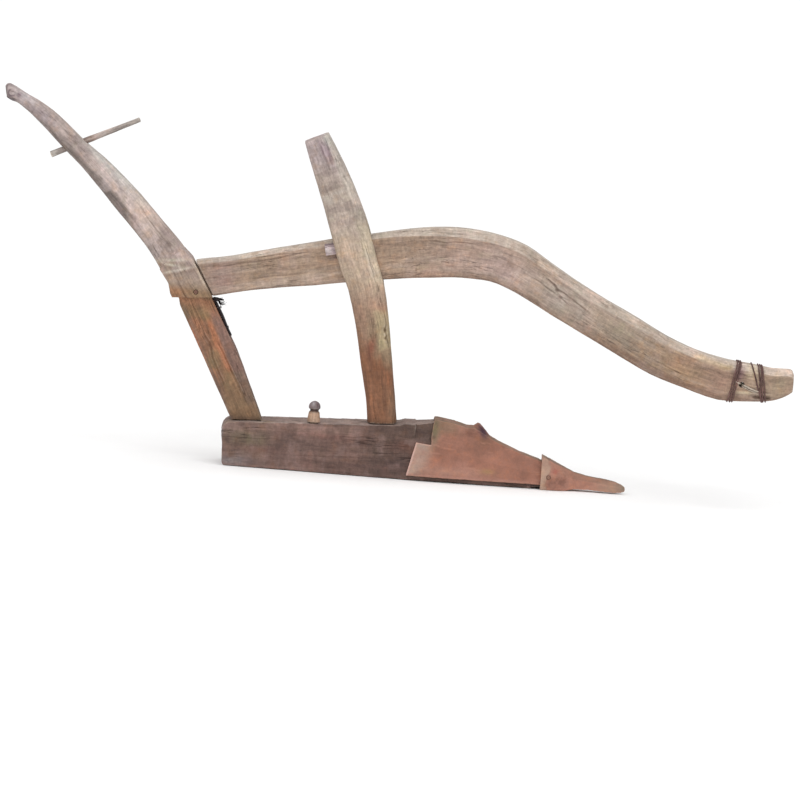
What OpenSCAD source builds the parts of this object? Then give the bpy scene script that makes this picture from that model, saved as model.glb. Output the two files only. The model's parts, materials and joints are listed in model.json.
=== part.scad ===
// Wooden ox-drawn walking plow with a socketed iron share.
// Frame: +X towards the draught animal, +Y to the plow's left, +Z up.
// Origin: on the underside of the sole, straight below the strut's foot.
// Every curved timber is a loft through short rows of stations.
// Side-view corners are written [x, z], in millimetres.

/* [Sole] */
// Width of the sole
sole_w = 116; // [112:1:124]
// Height of the sole at its heel
heel_h = 103; // [100:1:105]
// Rise of the sole's top per millimetre of length
sole_rise = 0.056; // [0.05:0.001:0.06]

/* [Handle] */
// Width of the handle's leg, across the plow
leg_w = 66; // [60:1:72]
// Width of the mortised block on the handle
block_w = 84; // [78:1:92]
// Length of the rod through the handle
grip_peg_len = 220; // [160:5:230]
// Radius of that rod at its thick end
grip_peg_r = 8; // [6:0.5:8]

/* [Beam] */
// Width of the beam where it passes the strut
beam_waist_w = 50; // [44:1:50]
// Width of the beam ahead of the strut
beam_body_w = 80; // [66:1:92]
// Width of the tenon that enters the handle
tenon_w = 30; // [24:1:34]
// Radius of the pin that the beam turns on
pivot_r = 5; // [4:0.5:6]
// Radius of the hole for the hitch pin
hitch_r = 5.5; // [4.5:0.5:6.5]

/* [Share] */
// Thickness of the share's iron
share_wall = 5; // [4:0.5:5]
// Thickness of the wall of the point's socket
point_wall = 4.5; // [4:0.5:5]
// Radius of the rivets that hold the point
rivet_r = 3.5; // [3:0.5:4]

/* [Bindings] */
// Radius of the wire of both bindings
wire_r = 2; // [1.5:0.25:2.5]
// Turns of the rear binding
rear_turns = 3; // [2:1:3]
// Turns of the front binding
front_turns = 4; // [2:1:4]

/* [Hidden] */
$fn = 64;
far = 2000;

// Room between pieces that only meet, and between pieces that slide or turn
seat_gap = 0.25;
slide_gap = 0.5;
share_gap = 1;
running_gap = 0.05;

wood_grey = [0.70, 0.63, 0.56];
wood_tan = [0.68, 0.56, 0.44];
wood_brown = [0.57, 0.44, 0.34];
wood_red = [0.48, 0.37, 0.33];
wood_pale = [0.78, 0.70, 0.60];
iron_rust = [0.66, 0.43, 0.35];
iron_black = [0.13, 0.12, 0.13];
wire_brown = [0.27, 0.20, 0.19];

// ---------- Shared geometry ----------

// Point of a Catmull-Rom curve between b and c, at t from 0 to 1
function curve_point(a, b, c, d, t) =
    0.5 * (2 * b + (c - a) * t
        + (2 * a - 5 * b + 4 * c - d) * t * t
        + (3 * b - a - 3 * c + d) * t * t * t);

// Rows of numbers made smooth, with the given steps between two rows
function smooth(rows, steps) = let (last = len(rows) - 1) [
    for (i = [0 : last - 1])
        for (k = [0 : steps - 1])
            curve_point(rows[max(i - 1, 0)], rows[i], rows[i + 1], rows[min(i + 2, last)], k / steps),
    rows[last]
];

// Side and size of a rounded-box coordinate: power 2 is an ellipse, more is squarer
function swell(v, power) = sign(v) * pow(abs(v), 2 / power);

// Ring between the upper edge (ux, uz) and lower edge (lx, lz) of a timber, as wide as w
function round_ring(ux, uz, lx, lz, w, power, sides) = [
    for (k = [0 : sides - 1]) let (
        a = -360 * (k + 0.5) / sides,
        side = swell(sin(a), power),
        up = swell(cos(a), power)
    ) [
        (ux + lx) / 2 + (ux - lx) / 2 * up,
        side * w / 2,
        (uz + lz) / 2 + (uz - lz) / 2 * up
    ]
];

// Ring like the last one, but a box with 45 degree chamfers at its top and bottom edges
function box_ring(ux, uz, lx, lz, w, top_cut, low_cut) = let (
    depth = norm([ux - lx, uz - lz]),
    corners = [
        [w / 2 - low_cut, 0], [w / 2, low_cut], [w / 2, depth - top_cut], [w / 2 - top_cut, depth],
        [top_cut - w / 2, depth], [-w / 2, depth - top_cut], [-w / 2, low_cut], [low_cut - w / 2, 0]
    ]
) [
    for (c = corners)
        [lx + (ux - lx) * c[1] / depth, c[0], lz + (uz - lz) * c[1] / depth]
];

// Solid through rings that all have the same number of points, closed at both ends
module loft(rings) {
    sides = len(rings[0]);
    last = len(rings) - 1;
    skin = [
        for (i = [0 : last - 1])
            for (k = [0 : sides - 1])
                let (a = i * sides + k, b = i * sides + (k + 1) % sides)
                    each [[a, a + sides, b + sides], [a, b + sides, b]]
    ];
    first_cap = [for (k = [0 : sides - 1]) k];
    last_cap = [for (k = [sides - 1 : -1 : 0]) last * sides + k];
    polyhedron([for (ring = rings) each ring], concat(skin, [first_cap, last_cap]));
}

// Flat board cut to a side-view outline, w thick and centred on the plow's middle plane
module board(outline, w) {
    rotate([90, 0, 0])
        linear_extrude(height = w, center = true)
            polygon(outline);
}

// Round hole or bar across the plow at a side-view place, from y_low to y_high
module cross_bar(place, r, y_low, y_high) {
    translate([place[0], y_high, place[1]])
        rotate([90, 0, 0])
            cylinder(r = r, h = y_high - y_low);
}

// Place on the sloping top of the sole
function sole_top(x) = heel_h + sole_rise * (x - heel_x);

// ---------- Sole ----------

heel_x = -350;
block_end = 78;
strut_toe = 38;
throat_rise = 4.5;
peg_seat = [-159, -38];
peg_shank_r = 9;
peg_shank_len = 46;

// The nose inside the share: x, half widths at foot and ridge, heights of foot, shoulder and ridge
nose_rows = [
    [40, 57.4, 46, 0, 92, 124],
    [82, 57.4, 44, 0, 92, 131],
    [120, 55.5, 31, 0, 84, 137],
    [165, 52, 28, 0, 76, 131],
    [193, 49, 26, 0, 70, 123.6],
    [214, 46.6, 24, 0, 65, 123.4],
    [241, 43.5, 21, 0, 58, 108],
    [272, 40, 18, 0, 52, 92.5],
    [320, 34.5, 15, 0, 44, 74],
    [350, 31, 13.7, 0, 39, 65],
    [367, 29, 13, 3.8, 36, 60],
    [400, 25, 11, 4.5, 31, 46],
    [425, 20, 9, 5.5, 24, 36]
];

// The nose's section, grown outwards by g, with its foot at z0
function nose_ring(r, g, z0) = [
    [r[0], r[1] + g, z0],
    [r[0], r[1] + g, r[4]],
    [r[0], r[2] + g, r[5] + g],
    [r[0], -r[2] - g, r[5] + g],
    [r[0], -r[1] - g, r[4]],
    [r[0], -r[1] - g, z0]
];

// Mortises run along each post's foot: lean is the shift in x per millimetre down
leg_tenon = [-314, 50, 0.534];
strut_tenon = [-1, 44, 0.14];
tenon_foot = 3;
tenon_across = 30;
wedge_top = 38;
foot_wedge_low = 3.5;
foot_wedge_tip = 0.75;

// Height at which each tenon's x is given
tenon_ref = 103;

// Outline of a tenon between two heights, grown by g
function tenon_outline(t, low, high, g) = let (
    shift_low = (tenon_ref - low) * t[2],
    shift_high = (tenon_ref - high) * t[2],
    half = t[1] / 2 + g
) [
    [t[0] + shift_low - half, low], [t[0] + shift_low + half, low],
    [t[0] + shift_high + half, high], [t[0] + shift_high - half, high]
];

// Outline of the wedge in a tenon's foot
function foot_wedge_outline(t, g) = let (
    low = t[0] + (tenon_ref - tenon_foot) * t[2],
    high = t[0] + (tenon_ref - wedge_top) * t[2]
) [
    [low - foot_wedge_low - g, tenon_foot - g], [low + foot_wedge_low + g, tenon_foot - g],
    [high + foot_wedge_tip + g, wedge_top + g], [high - foot_wedge_tip - g, wedge_top + g]
];

// Place of the blind peg through a tenon
function foot_peg_place(t) = [t[0] + (tenon_ref - foot_peg_z) * t[2], foot_peg_z];
foot_peg_z = 52;
foot_peg_r = 6;
foot_peg_reach = 24;

// The shim lies in a shallow seat on the nose's ridge
shim_ends = [124, 164];
shim_w = 26;
shim_thick = 4;
shim_sink = 1.2;
ridge_line = [for (r = nose_rows) [r[0], r[5]]];

// Shim's outline grown by g, and open upwards by the given amount
module shim_outline(g, open_top) {
    polygon([
        [shim_ends[0] - g, lookup(shim_ends[0], ridge_line) - shim_sink - shim_thick - g],
        [shim_ends[1] + g, lookup(shim_ends[1], ridge_line) - shim_sink - shim_thick - g],
        [shim_ends[1] + g, lookup(shim_ends[1], ridge_line) - shim_sink + open_top],
        [shim_ends[0] - g, lookup(shim_ends[0], ridge_line) - shim_sink + open_top]
    ]);
}

module sole() {
    color(wood_red) difference() {
        union() {
            board([
                [-360.5, 0], [-364, 6], [-366.5, 50], [-371, 80],
                [-369.5, 90], [-362, 98.5], [heel_x - 4, heel_h],
                [heel_x, sole_top(heel_x)], [strut_toe, sole_top(strut_toe)],
                [strut_toe + 12, sole_top(strut_toe) + throat_rise], [block_end, 131], [block_end, 0]
            ], sole_w);
            loft([for (r = nose_rows) nose_ring(r, 0, r[3])]);
        }
        board(tenon_outline(leg_tenon, -1, 140, seat_gap), tenon_across + 2 * seat_gap);
        board(tenon_outline(strut_tenon, -1, 140, seat_gap), tenon_across + 2 * seat_gap);
        for (t = [leg_tenon, strut_tenon])
            cross_bar(foot_peg_place(t), foot_peg_r, -foot_peg_reach, sole_w);
        translate([peg_seat[0], peg_seat[1], sole_top(peg_seat[0]) - peg_shank_len])
            cylinder(r = peg_shank_r, h = far);
        rotate([90, 0, 0])
            linear_extrude(height = shim_w + 2 * seat_gap, center = true)
                shim_outline(seat_gap, shim_thick);
    }
}

module share_shim() {
    color(wood_pale)
        rotate([90, 0, 0])
            linear_extrude(height = shim_w, center = true)
                shim_outline(0, 0);
}

// Radius and height of the tie peg's dome, and the height of its widest place
peg_dome = [14, 14.5, 36];

module tie_peg() {
    shank = peg_shank_r - 0.1;
    color(wood_tan)
        translate([peg_seat[0], peg_seat[1], sole_top(peg_seat[0])])
            rotate_extrude()
                polygon(concat(
                    [[0, 1 - peg_shank_len], [shank, 1 - peg_shank_len], [shank, 1.2],
                     [16, 1.2], [15, 8], [13, 24], [10.2, 27], [10.2, 30], [13.6, 32.5]],
                    [for (a = [0 : 15 : 90]) [peg_dome[0] * cos(a), peg_dome[2] + peg_dome[1] * sin(a)]]
                ));
}

// ---------- Handle ----------

// Upper and lower edges of the handle, its width and its squareness
handle_rows = [
    [-928, 828, -922, 801, 29, 2.2],
    [-915.5, 836, -904, 795.5, 40, 2.2],
    [-870, 813, -886, 784, 38, 2.2],
    [-837, 797, -860, 765, 41, 2.3],
    [-798, 771, -828, 737, 44, 2.4],
    [-746, 727, -779, 692, 47, 2.6],
    [-712, 701, -747, 664, 50, 2.7],
    [-674, 673, -711, 628, 54, 2.8],
    [-601, 609, -647, 560, 58, 3],
    [-537, 543, -583, 493, 62, 3.4],
    [-496, 501, -548, 448, 70, 4],
    [-470, 466, -524, 412, 76, 5]
];
handle_sides = 20;

// Side-view corners of the mortised block and of the leg below it
block_outline = [
    [-541, 438], [-519, 408], [-513, 385], [-507, 375],
    [-413, 383], [-427, 405], [-466, 468], [-488, 489], [-514, 474]
];
leg_outline = [
    [-417, 384], [-492, 376], [-488, 359], [-349, sole_top(-349) + seat_gap],
    [-278, sole_top(-278) + seat_gap], [-291, 137], [-347, 260]
];

pivot = [-453, 393];
beam_tenon_outline = [[-380, 392], [-404, 386], [-476, 377], [-500, 428], [-440, 452], [-380, 470]];
handle_mortise_outline = [[-395, 381], [-481, 372.5], [-506, 431], [-440, 458], [-395, 480]];

grip_peg_end = [-811, 679];
grip_peg_rise = 26;
grip_peg_tip_r = 4.6;

module grip_rod(grow) {
    translate([grip_peg_end[0], 0, grip_peg_end[1]])
        rotate([0, 90 - grip_peg_rise, 0])
            cylinder(r1 = grip_peg_r + grow, r2 = grip_peg_tip_r + grow, h = grip_peg_len);
}

module handle() {
    rows = smooth(handle_rows, 3);
    color(wood_grey) difference() {
        union() {
            loft([
                for (r = rows)
                    round_ring(r[0], r[1], r[2], r[3], r[4], r[5], handle_sides)
            ]);
            board(block_outline, block_w);
            board(leg_outline, leg_w);
            board(tenon_outline(leg_tenon, tenon_foot, 112, 0), tenon_across);
        }
        board(handle_mortise_outline, tenon_w + 2 * slide_gap);
        board(foot_wedge_outline(leg_tenon, 0.1), tenon_across + 1);
        cross_bar(pivot, pivot_r, -block_w, block_w);
        cross_bar(foot_peg_place(leg_tenon), foot_peg_r, -foot_peg_reach, far);
        grip_rod(0.1);
        for (f = strap_nail_places) strap_nail(f, strap_nail_r, 0);
    }
}

module grip_peg() {
    color(wood_grey) grip_rod(0);
}

module handle_foot_wedge() {
    color(wood_pale) board(foot_wedge_outline(leg_tenon, 0), tenon_across - 1);
}

module strut_foot_wedge() {
    color(wood_pale) board(foot_wedge_outline(strut_tenon, 0), tenon_across - 1);
}

module handle_foot_peg() {
    color(wood_tan)
        cross_bar(foot_peg_place(leg_tenon), foot_peg_r - 0.1, 1 - foot_peg_reach, sole_w / 2);
}

module strut_foot_peg() {
    color(wood_tan)
        cross_bar(foot_peg_place(strut_tenon), foot_peg_r - 0.1, 1 - foot_peg_reach, sole_w / 2);
}

module pivot_pin() {
    color(iron_black)
        cross_bar(pivot, pivot_r - running_gap, -block_w / 2 + 1, block_w / 2 - 1);
}

// Strip nailed to the front of the leg, its upper end bent forward under the beam
strap_t = 7;
strap_w = 34;
strap_top = [-414.7, 380];
strap_low = [-367.3, 296];
strap_tab = [-404, -386, 374, 379.5];
strap_gap = 0.65;
strap_nail_r = 1.8;
strap_nail_depth = 20;
strap_nail_places = [0.3, 0.8];
strap_head_r = 5;

module corner_strap() {
    color(iron_black) difference() {
        board([
            [strap_top[0] + strap_gap, strap_top[1]], [strap_low[0] + strap_gap, strap_low[1]],
            [strap_low[0] + strap_gap + strap_t, strap_low[1] + 1],
            [strap_top[0] + strap_gap + strap_t + 2, strap_tab[2]],
            [strap_tab[1], strap_tab[2]], [strap_tab[1], strap_tab[3]], [strap_tab[0], strap_tab[3]]
        ], strap_w);
        for (f = strap_nail_places) strap_nail(f, strap_nail_r, 0);
    }
}

// A nail a fraction f of the way down the strap
module strap_nail(f, r, head_r) {
    lean = atan((strap_low[0] - strap_top[0]) / (strap_top[1] - strap_low[1]));
    translate([
        strap_top[0] + f * (strap_low[0] - strap_top[0]), 0,
        strap_top[1] + f * (strap_low[1] - strap_top[1])
    ])
        rotate([0, 90 - lean, 0]) {
            translate([0, 0, -strap_nail_depth])
                cylinder(r = r, h = strap_nail_depth + strap_t + 2);
            if (head_r > 0)
                translate([0, 0, strap_t + 1.2])
                    cylinder(r1 = head_r, r2 = head_r - 2, h = 2);
        }
}

module strap_nails() {
    color(iron_black)
        for (f = strap_nail_places) strap_nail(f, strap_nail_r - running_gap, strap_head_r);
}

// ---------- Strut ----------

// Rear and front edges of the strut, its width and its squareness
strut_rows = [
    [-232, 756, -177, 781.5, 76, 5],
    [-205, 684, -135.5, 713, 82, 5],
    [-173, 603, -94, 634.5, 94, 6],
    [-148, 531, -64, 564, 108, 8],
    [-125, 467, -43, 501.5, 110, 8],
    [-105, 426, -24, 452, 108, 8],
    [-82, 347, -5, 366, 98, 6],
    [-63, 260, 10, 275, 90, 4],
    [-43, 172, 25, 184, 86, 3.5],
    [-36, sole_top(-36) + seat_gap, 34, sole_top(34) + seat_gap, 86, 3.5]
];
strut_sides = 24;

// The mortise's floor carries the beam at its rear edge and falls away in front
mortise_floor = [-110, 438.9];
mortise_floor_rise = 0.06;
mortise_roof = [-152, 555.5];
mortise_roof_rise = 0.25;

// The wedge's own line: its butt on the near side of the beam, and its slope
wedge_butt = [-162, 500];
wedge_lean = atan(0.22);
wedge_len = 84;
wedge_h = 28;
wedge_thick = 13.5;
wedge_thin = 4.5;

// Plan of the wedge, grown by g, in a frame that runs along the wedge
module wedge_body(g, extra) {
    inner = -beam_waist_w / 2 - 0.4;
    taper = (wedge_thick - wedge_thin) / wedge_len;
    translate([wedge_butt[0], 0, wedge_butt[1]])
        rotate([0, -wedge_lean, 0])
            translate([0, 0, -g])
                linear_extrude(height = wedge_h + 2 * g)
                    polygon([
                        [-extra, inner + (g > 0 ? 3 : 0)],
                        [-extra, inner - wedge_thick - g - taper * extra],
                        [wedge_len + g, inner - wedge_thin - g],
                        [wedge_len + g, inner + (g > 0 ? 3 : 0)]
                    ]);
}

module strut() {
    rows = smooth(strut_rows, 2);
    color(wood_tan) difference() {
        union() {
            loft([
                for (r = rows) round_ring(r[2], r[3], r[0], r[1], r[4], r[5], strut_sides)
            ]);
            board(tenon_outline(strut_tenon, tenon_foot, 126, 0), tenon_across);
        }
        board([
            for (x = [-250, 100])
                [x, mortise_floor[1] + mortise_floor_rise * (x - mortise_floor[0])],
            for (x = [100, -250])
                [x, mortise_roof[1] + mortise_roof_rise * (x - mortise_roof[0])]
        ], beam_waist_w + 2 * slide_gap);
        wedge_body(0.4, 60);
        board(foot_wedge_outline(strut_tenon, 0.1), tenon_across + 1);
        cross_bar(foot_peg_place(strut_tenon), foot_peg_r, -foot_peg_reach, far);
    }
}

module beam_wedge() {
    color(wood_grey) wedge_body(0, 0);
}

// ---------- Beam ----------

// Top and bottom edges of the beam, its width and its top chamfer
beam_rows = [
    [-456.4, 463, -412.5, 383.3, beam_waist_w, 8],
    [-375, 480.5, -345, 400, beam_waist_w, 10],
    [-291, 502, -268, 414.5, beam_waist_w, 10],
    [-209.5, 522, -192, 426, beam_waist_w, 10],
    [-144.5, 538, -122, 438, beam_waist_w, 10],
    [-70, 555, -51, 449.5, beam_waist_w, 12],
    [2, 571, 20, 460, beam_waist_w, 14],
    [82, 584, 97, 469.5, beam_waist_w + 0.75 * (beam_body_w - beam_waist_w), 18],
    [162, 587, 158, 474, beam_body_w, 20],
    [239, 577, 217, 471, beam_body_w, 20],
    [301, 557, 262.5, 457, beam_body_w, 20],
    [358, 523, 313.5, 433, beam_body_w, 20],
    [419, 487, 371, 402.5, beam_body_w, 20],
    [494, 447.5, 446, 365, beam_body_w, 19],
    [570, 411, 525, 325.5, beam_body_w, 18],
    [641, 374.5, 605, 287, beam_body_w - 1, 17],
    [712, 348, 684, 261.5, beam_body_w - 3, 16],
    [784, 332.5, 765.5, 240, beam_body_w - 6, 14],
    [850, 326, 846, 242, beam_body_w - 10, 14],
    [893, 320.5, 893, 248, beam_body_w - 13, 14],
    [930, 321, 922, 260, beam_body_w - 16, 12],
    [938, 311.5, 938, 271.5, beam_body_w - 22, 10]
];
beam_low_cut = 6;
hitch = [818, 281];

module beam() {
    color(wood_brown) difference() {
        union() {
            loft([
                for (r = smooth(beam_rows, 3)) box_ring(r[0], r[1], r[2], r[3], r[4], r[5], beam_low_cut)
            ]);
            board(beam_tenon_outline, tenon_w);
        }
        cross_bar(pivot, pivot_r, -tenon_w, tenon_w);
        cross_bar(hitch, hitch_r, -beam_body_w, beam_body_w);
    }
}

// ---------- Bindings ----------

// Distance round a rounded rectangle of half sizes a, b and corner radius r, as points
function binding_path(a, b, r, steps) = [
    for (q = [[1, 1, 0], [-1, 1, 90], [-1, -1, 180], [1, -1, 270]])
        for (k = [0 : steps])
            let (t = q[2] + 90 * k / steps)
                [q[0] * (a - r) + r * cos(t), q[1] * (b - r) + r * sin(t)]
];

// One closed turn of wire round a box of width w and depth d
module wire_turn(w, d) {
    sides = 8;
    lay = wire_r + 0.2;
    path = binding_path(w / 2 + lay, d / 2 + lay, 12, 4);
    n = len(path);
    points = [
        for (i = [0 : n - 1])
            let (
                ahead = path[(i + 1) % n] - path[(i + n - 1) % n],
                out = [ahead[1], -ahead[0]] / norm(ahead)
            )
                for (k = [0 : sides - 1])
                    let (a = 360 * k / sides, side = path[i] + out * wire_r * cos(a))
                        [wire_r * sin(a), side[0], side[1]]
    ];
    faces = [
        for (i = [0 : n - 1])
            for (k = [0 : sides - 1])
                let (
                    a = i * sides + k,
                    b = i * sides + (k + 1) % sides,
                    c = ((i + 1) % n) * sides + k,
                    d1 = ((i + 1) % n) * sides + (k + 1) % sides
                )
                    each [[a, d1, c], [a, b, d1]]
    ];
    polyhedron(points, faces);
}

// Turns side by side round the beam, each [x, z] at its middle, leaning by lean degrees
module binding(turns, first, pitch, lean, w, d) {
    color(wire_brown)
        for (i = [0 : turns - 1])
            translate([first[0] + i * pitch[0], 0, first[1] + i * pitch[1]])
                rotate([0, lean, 0])
                    wire_turn(w, d);
}

// First turn of each binding, step to the next turn, lean, and the box each turn goes round
rear_at = [797.5, 285.5];
front_at = [856, 285];
rear_step = [4.6, -0.2];
front_step = [4.6, 0];
rear_lean = 10;
front_lean = -9;
rear_box = [beam_body_w - 4.6, 94];
front_box = [beam_body_w - 9, 84.4];

module rear_binding() {
    binding(rear_turns, rear_at, rear_step, rear_lean, rear_box[0], rear_box[1]);
}

module front_binding() {
    binding(front_turns, front_at, front_step, front_lean, front_box[0], front_box[1]);
}

// ---------- Share and point ----------

share_back = 58;
collar_x = 116;
share_front = 408;
wing_foot = 10.5;
wing_flare = 2;
lug_at = 220;
lug_w = 14;

// Half of the share's section, grown by g and flared by f at its foot: [half width, height] upwards
function share_half(r, g, f, z0) = [
    [r[1] + g + f, z0], [r[1] + g, (z0 + r[4]) / 2], [r[1] + g, r[4]], [r[2] + g, r[5] + g]
];

// Whole section at a nose row, from the plow's left foot over the ridge to its right foot
function share_arch(r, g, f, z0) = let (half = share_half(r, g, f, z0)) concat(
    [for (p = half) [r[0], p[0], p[1]]],
    [for (i = [3 : -1 : 0]) [r[0], -half[i][0], half[i][1]]]
);

// Channel between an outer and an inner arch at every nose row, open below.
// Both arches are split along the same diagonals as the nose.
module share_channel(rows) {
    arch = 8;
    ring = 2 * arch;
    last = len(rows) - 1;
    points = [
        for (r = rows)
            each concat(
                share_arch(r, share_gap + share_wall, wing_flare, wing_foot),
                [for (i = [arch - 1 : -1 : 0]) share_arch(r, share_gap, 0, wing_foot)[i]]
            )
    ];
    skin = [
        for (i = [0 : last - 1])
            for (k = [0 : ring - 1])
                let (a = i * ring + k, b = i * ring + (k + 1) % ring)
                    each k < arch
                        ? [[a, a + ring, b + ring], [a, b + ring, b]]
                        : [[a, a + ring, b], [b, a + ring, b + ring]]
    ];
    caps = [
        for (k = [0 : arch - 2])
            let (inner = ring - 1 - k, end = last * ring)
                each [
                    [k, k + 1, inner - 1], [k, inner - 1, inner],
                    [end + k, end + inner - 1, end + k + 1], [end + k, end + inner, end + inner - 1]
                ]
    ];
    polyhedron(points, concat(skin, caps));
}

// Side view of the share: a low wing behind, then the collar and the sheath
share_outline = [
    [60, 0], [80, 90], [collar_x, 86], [collar_x - 2, 104], [120, 160],
    [share_front, 160], [share_front, 0]
];

module share() {
    color(iron_rust) difference() {
        union() {
            intersection() {
                share_channel(nose_rows);
                board(share_outline, 200);
            }
            share_lug();
        }
        rivet_holes();
    }
}

// Worn hook on the ridge
module share_lug() {
    board([
        [lug_at - 28, 127.2], [lug_at - 12, 130.5], [lug_at, 139.5], [lug_at + 6, 138],
        [lug_at + 20, 123], [lug_at + 30, 111], [lug_at + 34, 106.2], [lug_at + 18, 112.6],
        [lug_at - 4, 125.4], [lug_at - 20, 126.2]
    ], lug_w);
}

rivet_at = [392, 30];

module rivet_holes() {
    cross_bar(rivet_at, rivet_r, -60, 60);
}

// Room in the point's socket round the nose, which also takes the share's walls, and its floor
socket_gap = share_gap + share_wall + wing_flare + 0.3;
socket_floor = 3.4;

// Outside of the point: x, half widths at foot and ridge, heights of foot, shoulder and ridge
point_rows = [
    [374, 36.5 + point_wall, 21.5 + point_wall, 0, 43, 76],
    [388, 34.5 + point_wall, 19.5 + point_wall, 0, 40, 70],
    [410, 30.5 + point_wall, 16.5 + point_wall, 0, 36, 60],
    [432, 27, 14, 0, 31, 50.5],
    [452, 18, 8, 4, 27, 42.5],
    [485, 15, 7, 5, 23, 35.5],
    [525, 13, 6, 3, 19, 31.5],
    [546, 11, 5, 2, 17, 28],
    [562, 8, 3, 3, 14, 22.5],
    [572, 3, 1.5, 6, 10, 16]
];
point_mouth = 430;
rivet_seat = 39.5;

module share_point() {
    color(iron_rust) difference() {
        loft([for (r = point_rows) nose_ring(r, 0, r[3])]);
        intersection() {
            loft([for (r = nose_rows) nose_ring(r, socket_gap, socket_floor)]);
            translate([0, -100, 0]) cube([point_mouth, 200, 100]);
        }
        rivet_holes();
    }
}

module point_rivets() {
    color(iron_black)
        for (side = [0, 1])
            mirror([0, side, 0]) {
                cross_bar(rivet_at, rivet_r - running_gap, -rivet_seat - 1, -rivet_seat + 8);
                translate([rivet_at[0], -rivet_seat, rivet_at[1]])
                    rotate([90, 0, 0])
                        cylinder(r1 = 6, r2 = 3, h = 3);
            }
}

sole();
handle();
strut();
grip_peg();
tie_peg();
handle_foot_wedge();
strut_foot_wedge();
handle_foot_peg();
strut_foot_peg();
pivot_pin();
corner_strap();
strap_nails();
share_shim();
beam();
rear_binding();
front_binding();
beam_wedge();
share();
share_point();
point_rivets();
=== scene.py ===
import json
import math

import bmesh
import bpy
import numpy as np
from mathutils import Matrix, Vector
from mathutils.bvhtree import BVHTree

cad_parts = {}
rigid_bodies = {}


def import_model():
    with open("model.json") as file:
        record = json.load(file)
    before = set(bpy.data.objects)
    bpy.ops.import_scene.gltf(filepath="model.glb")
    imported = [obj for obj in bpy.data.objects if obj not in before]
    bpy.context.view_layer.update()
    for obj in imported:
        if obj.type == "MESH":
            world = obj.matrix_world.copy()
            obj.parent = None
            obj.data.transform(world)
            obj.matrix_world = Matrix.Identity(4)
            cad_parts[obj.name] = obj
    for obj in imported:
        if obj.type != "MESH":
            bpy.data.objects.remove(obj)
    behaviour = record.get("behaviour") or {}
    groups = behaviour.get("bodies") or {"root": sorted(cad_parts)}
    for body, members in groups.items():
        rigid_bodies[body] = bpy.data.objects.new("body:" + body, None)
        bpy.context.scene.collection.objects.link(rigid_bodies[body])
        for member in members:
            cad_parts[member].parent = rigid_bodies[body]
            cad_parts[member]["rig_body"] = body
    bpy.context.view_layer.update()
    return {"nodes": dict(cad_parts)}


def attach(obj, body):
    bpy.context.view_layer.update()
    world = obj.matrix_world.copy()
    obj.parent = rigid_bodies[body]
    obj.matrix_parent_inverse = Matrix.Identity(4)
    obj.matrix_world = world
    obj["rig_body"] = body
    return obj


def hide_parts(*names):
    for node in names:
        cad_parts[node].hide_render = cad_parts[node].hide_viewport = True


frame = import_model()
NODES = frame["nodes"]
SCENE = bpy.context.scene
COARSE = 1.0  # larger steps while trying things
MM = 1000.0  # millimetres in a metre
NEAR, FAR = -1, 1  # side faces: NEAR is the one in the photograph, at -Y


# ---------- Random fields, all seeded ----------


def hashed(ix, iy, iz, seed):
    """Random value from 0 to 1 for each whole-number place."""
    n = (ix * 374761393 + iy * 668265263 + iz * 2147483647 + seed * 974634777) & 0xFFFFFFFF
    n = ((n ^ (n >> 13)) * 1274126177) & 0xFFFFFFFF
    return ((n ^ (n >> 16)) & 0xFFFF) / 65535.0


def noise(p, seed=0):
    """Smooth random value from -1 to 1 at each point of p."""
    i = np.floor(p).astype(np.int64)
    f = p - i
    f = f * f * f * (f * (f * 6 - 15) + 10)
    out = np.zeros(len(p))
    for dx in (0, 1):
        wx = f[:, 0] if dx else 1 - f[:, 0]
        for dy in (0, 1):
            wy = f[:, 1] if dy else 1 - f[:, 1]
            for dz in (0, 1):
                wz = f[:, 2] if dz else 1 - f[:, 2]
                out += wx * wy * wz * hashed(i[:, 0] + dx, i[:, 1] + dy, i[:, 2] + dz, seed)
    return out * 2 - 1


def fbm(p, octaves=3, seed=0):
    """Noise with finer noise on top, from -1 to 1."""
    out, amp, total = np.zeros(len(p)), 1.0, 0.0
    for k in range(octaves):
        out += amp * noise(p * 2.0**k, seed + 17 * k)
        total += amp
        amp *= 0.5
    return out / total


def cells(p, seed=0):
    """Distance to the nearest of one random point per unit cell."""
    i = np.floor(p).astype(np.int64)
    best = np.full(len(p), np.inf)
    for dx in (-1, 0, 1):
        for dy in (-1, 0, 1):
            for dz in (-1, 0, 1):
                c = i + np.array([dx, dy, dz])
                q = np.stack([hashed(c[:, 0], c[:, 1], c[:, 2], seed + k) for k in (1, 2, 3)], 1)
                best = np.minimum(best, np.linalg.norm(c + q - p, axis=1))
    return best


def ramp(v, a, b):
    """0 below a, 1 above b and smooth between."""
    t = np.clip((v - a) / (b - a), 0, 1)
    return t * t * (3 - 2 * t)


# ---------- Meshes ----------


def applied(ob):
    """The finished mesh of a curve or of an object with modifiers, which is then removed."""
    mesh = bpy.data.meshes.new_from_object(ob.evaluated_get(bpy.context.evaluated_depsgraph_get()))
    bpy.data.objects.remove(ob)
    return mesh


def even_mesh(node, step):
    """A CAD node's surface with its points evenly spaced, step metres apart."""
    bm = bmesh.new()
    bm.from_mesh(NODES[node].data)
    bmesh.ops.remove_doubles(bm, verts=bm.verts, dist=2e-6)
    raw = bpy.data.meshes.new("raw")
    bm.to_mesh(raw)
    bm.free()
    ob = bpy.data.objects.new("raw", raw)
    SCENE.collection.objects.link(ob)
    mod = ob.modifiers.new("even", "REMESH")
    mod.mode = "VOXEL"
    mod.voxel_size = step * COARSE
    return applied(ob)


def points_of(mesh):
    co = np.empty(len(mesh.vertices) * 3, np.float32)
    mesh.vertices.foreach_get("co", co)
    return co.reshape(-1, 3).astype(float)


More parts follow.
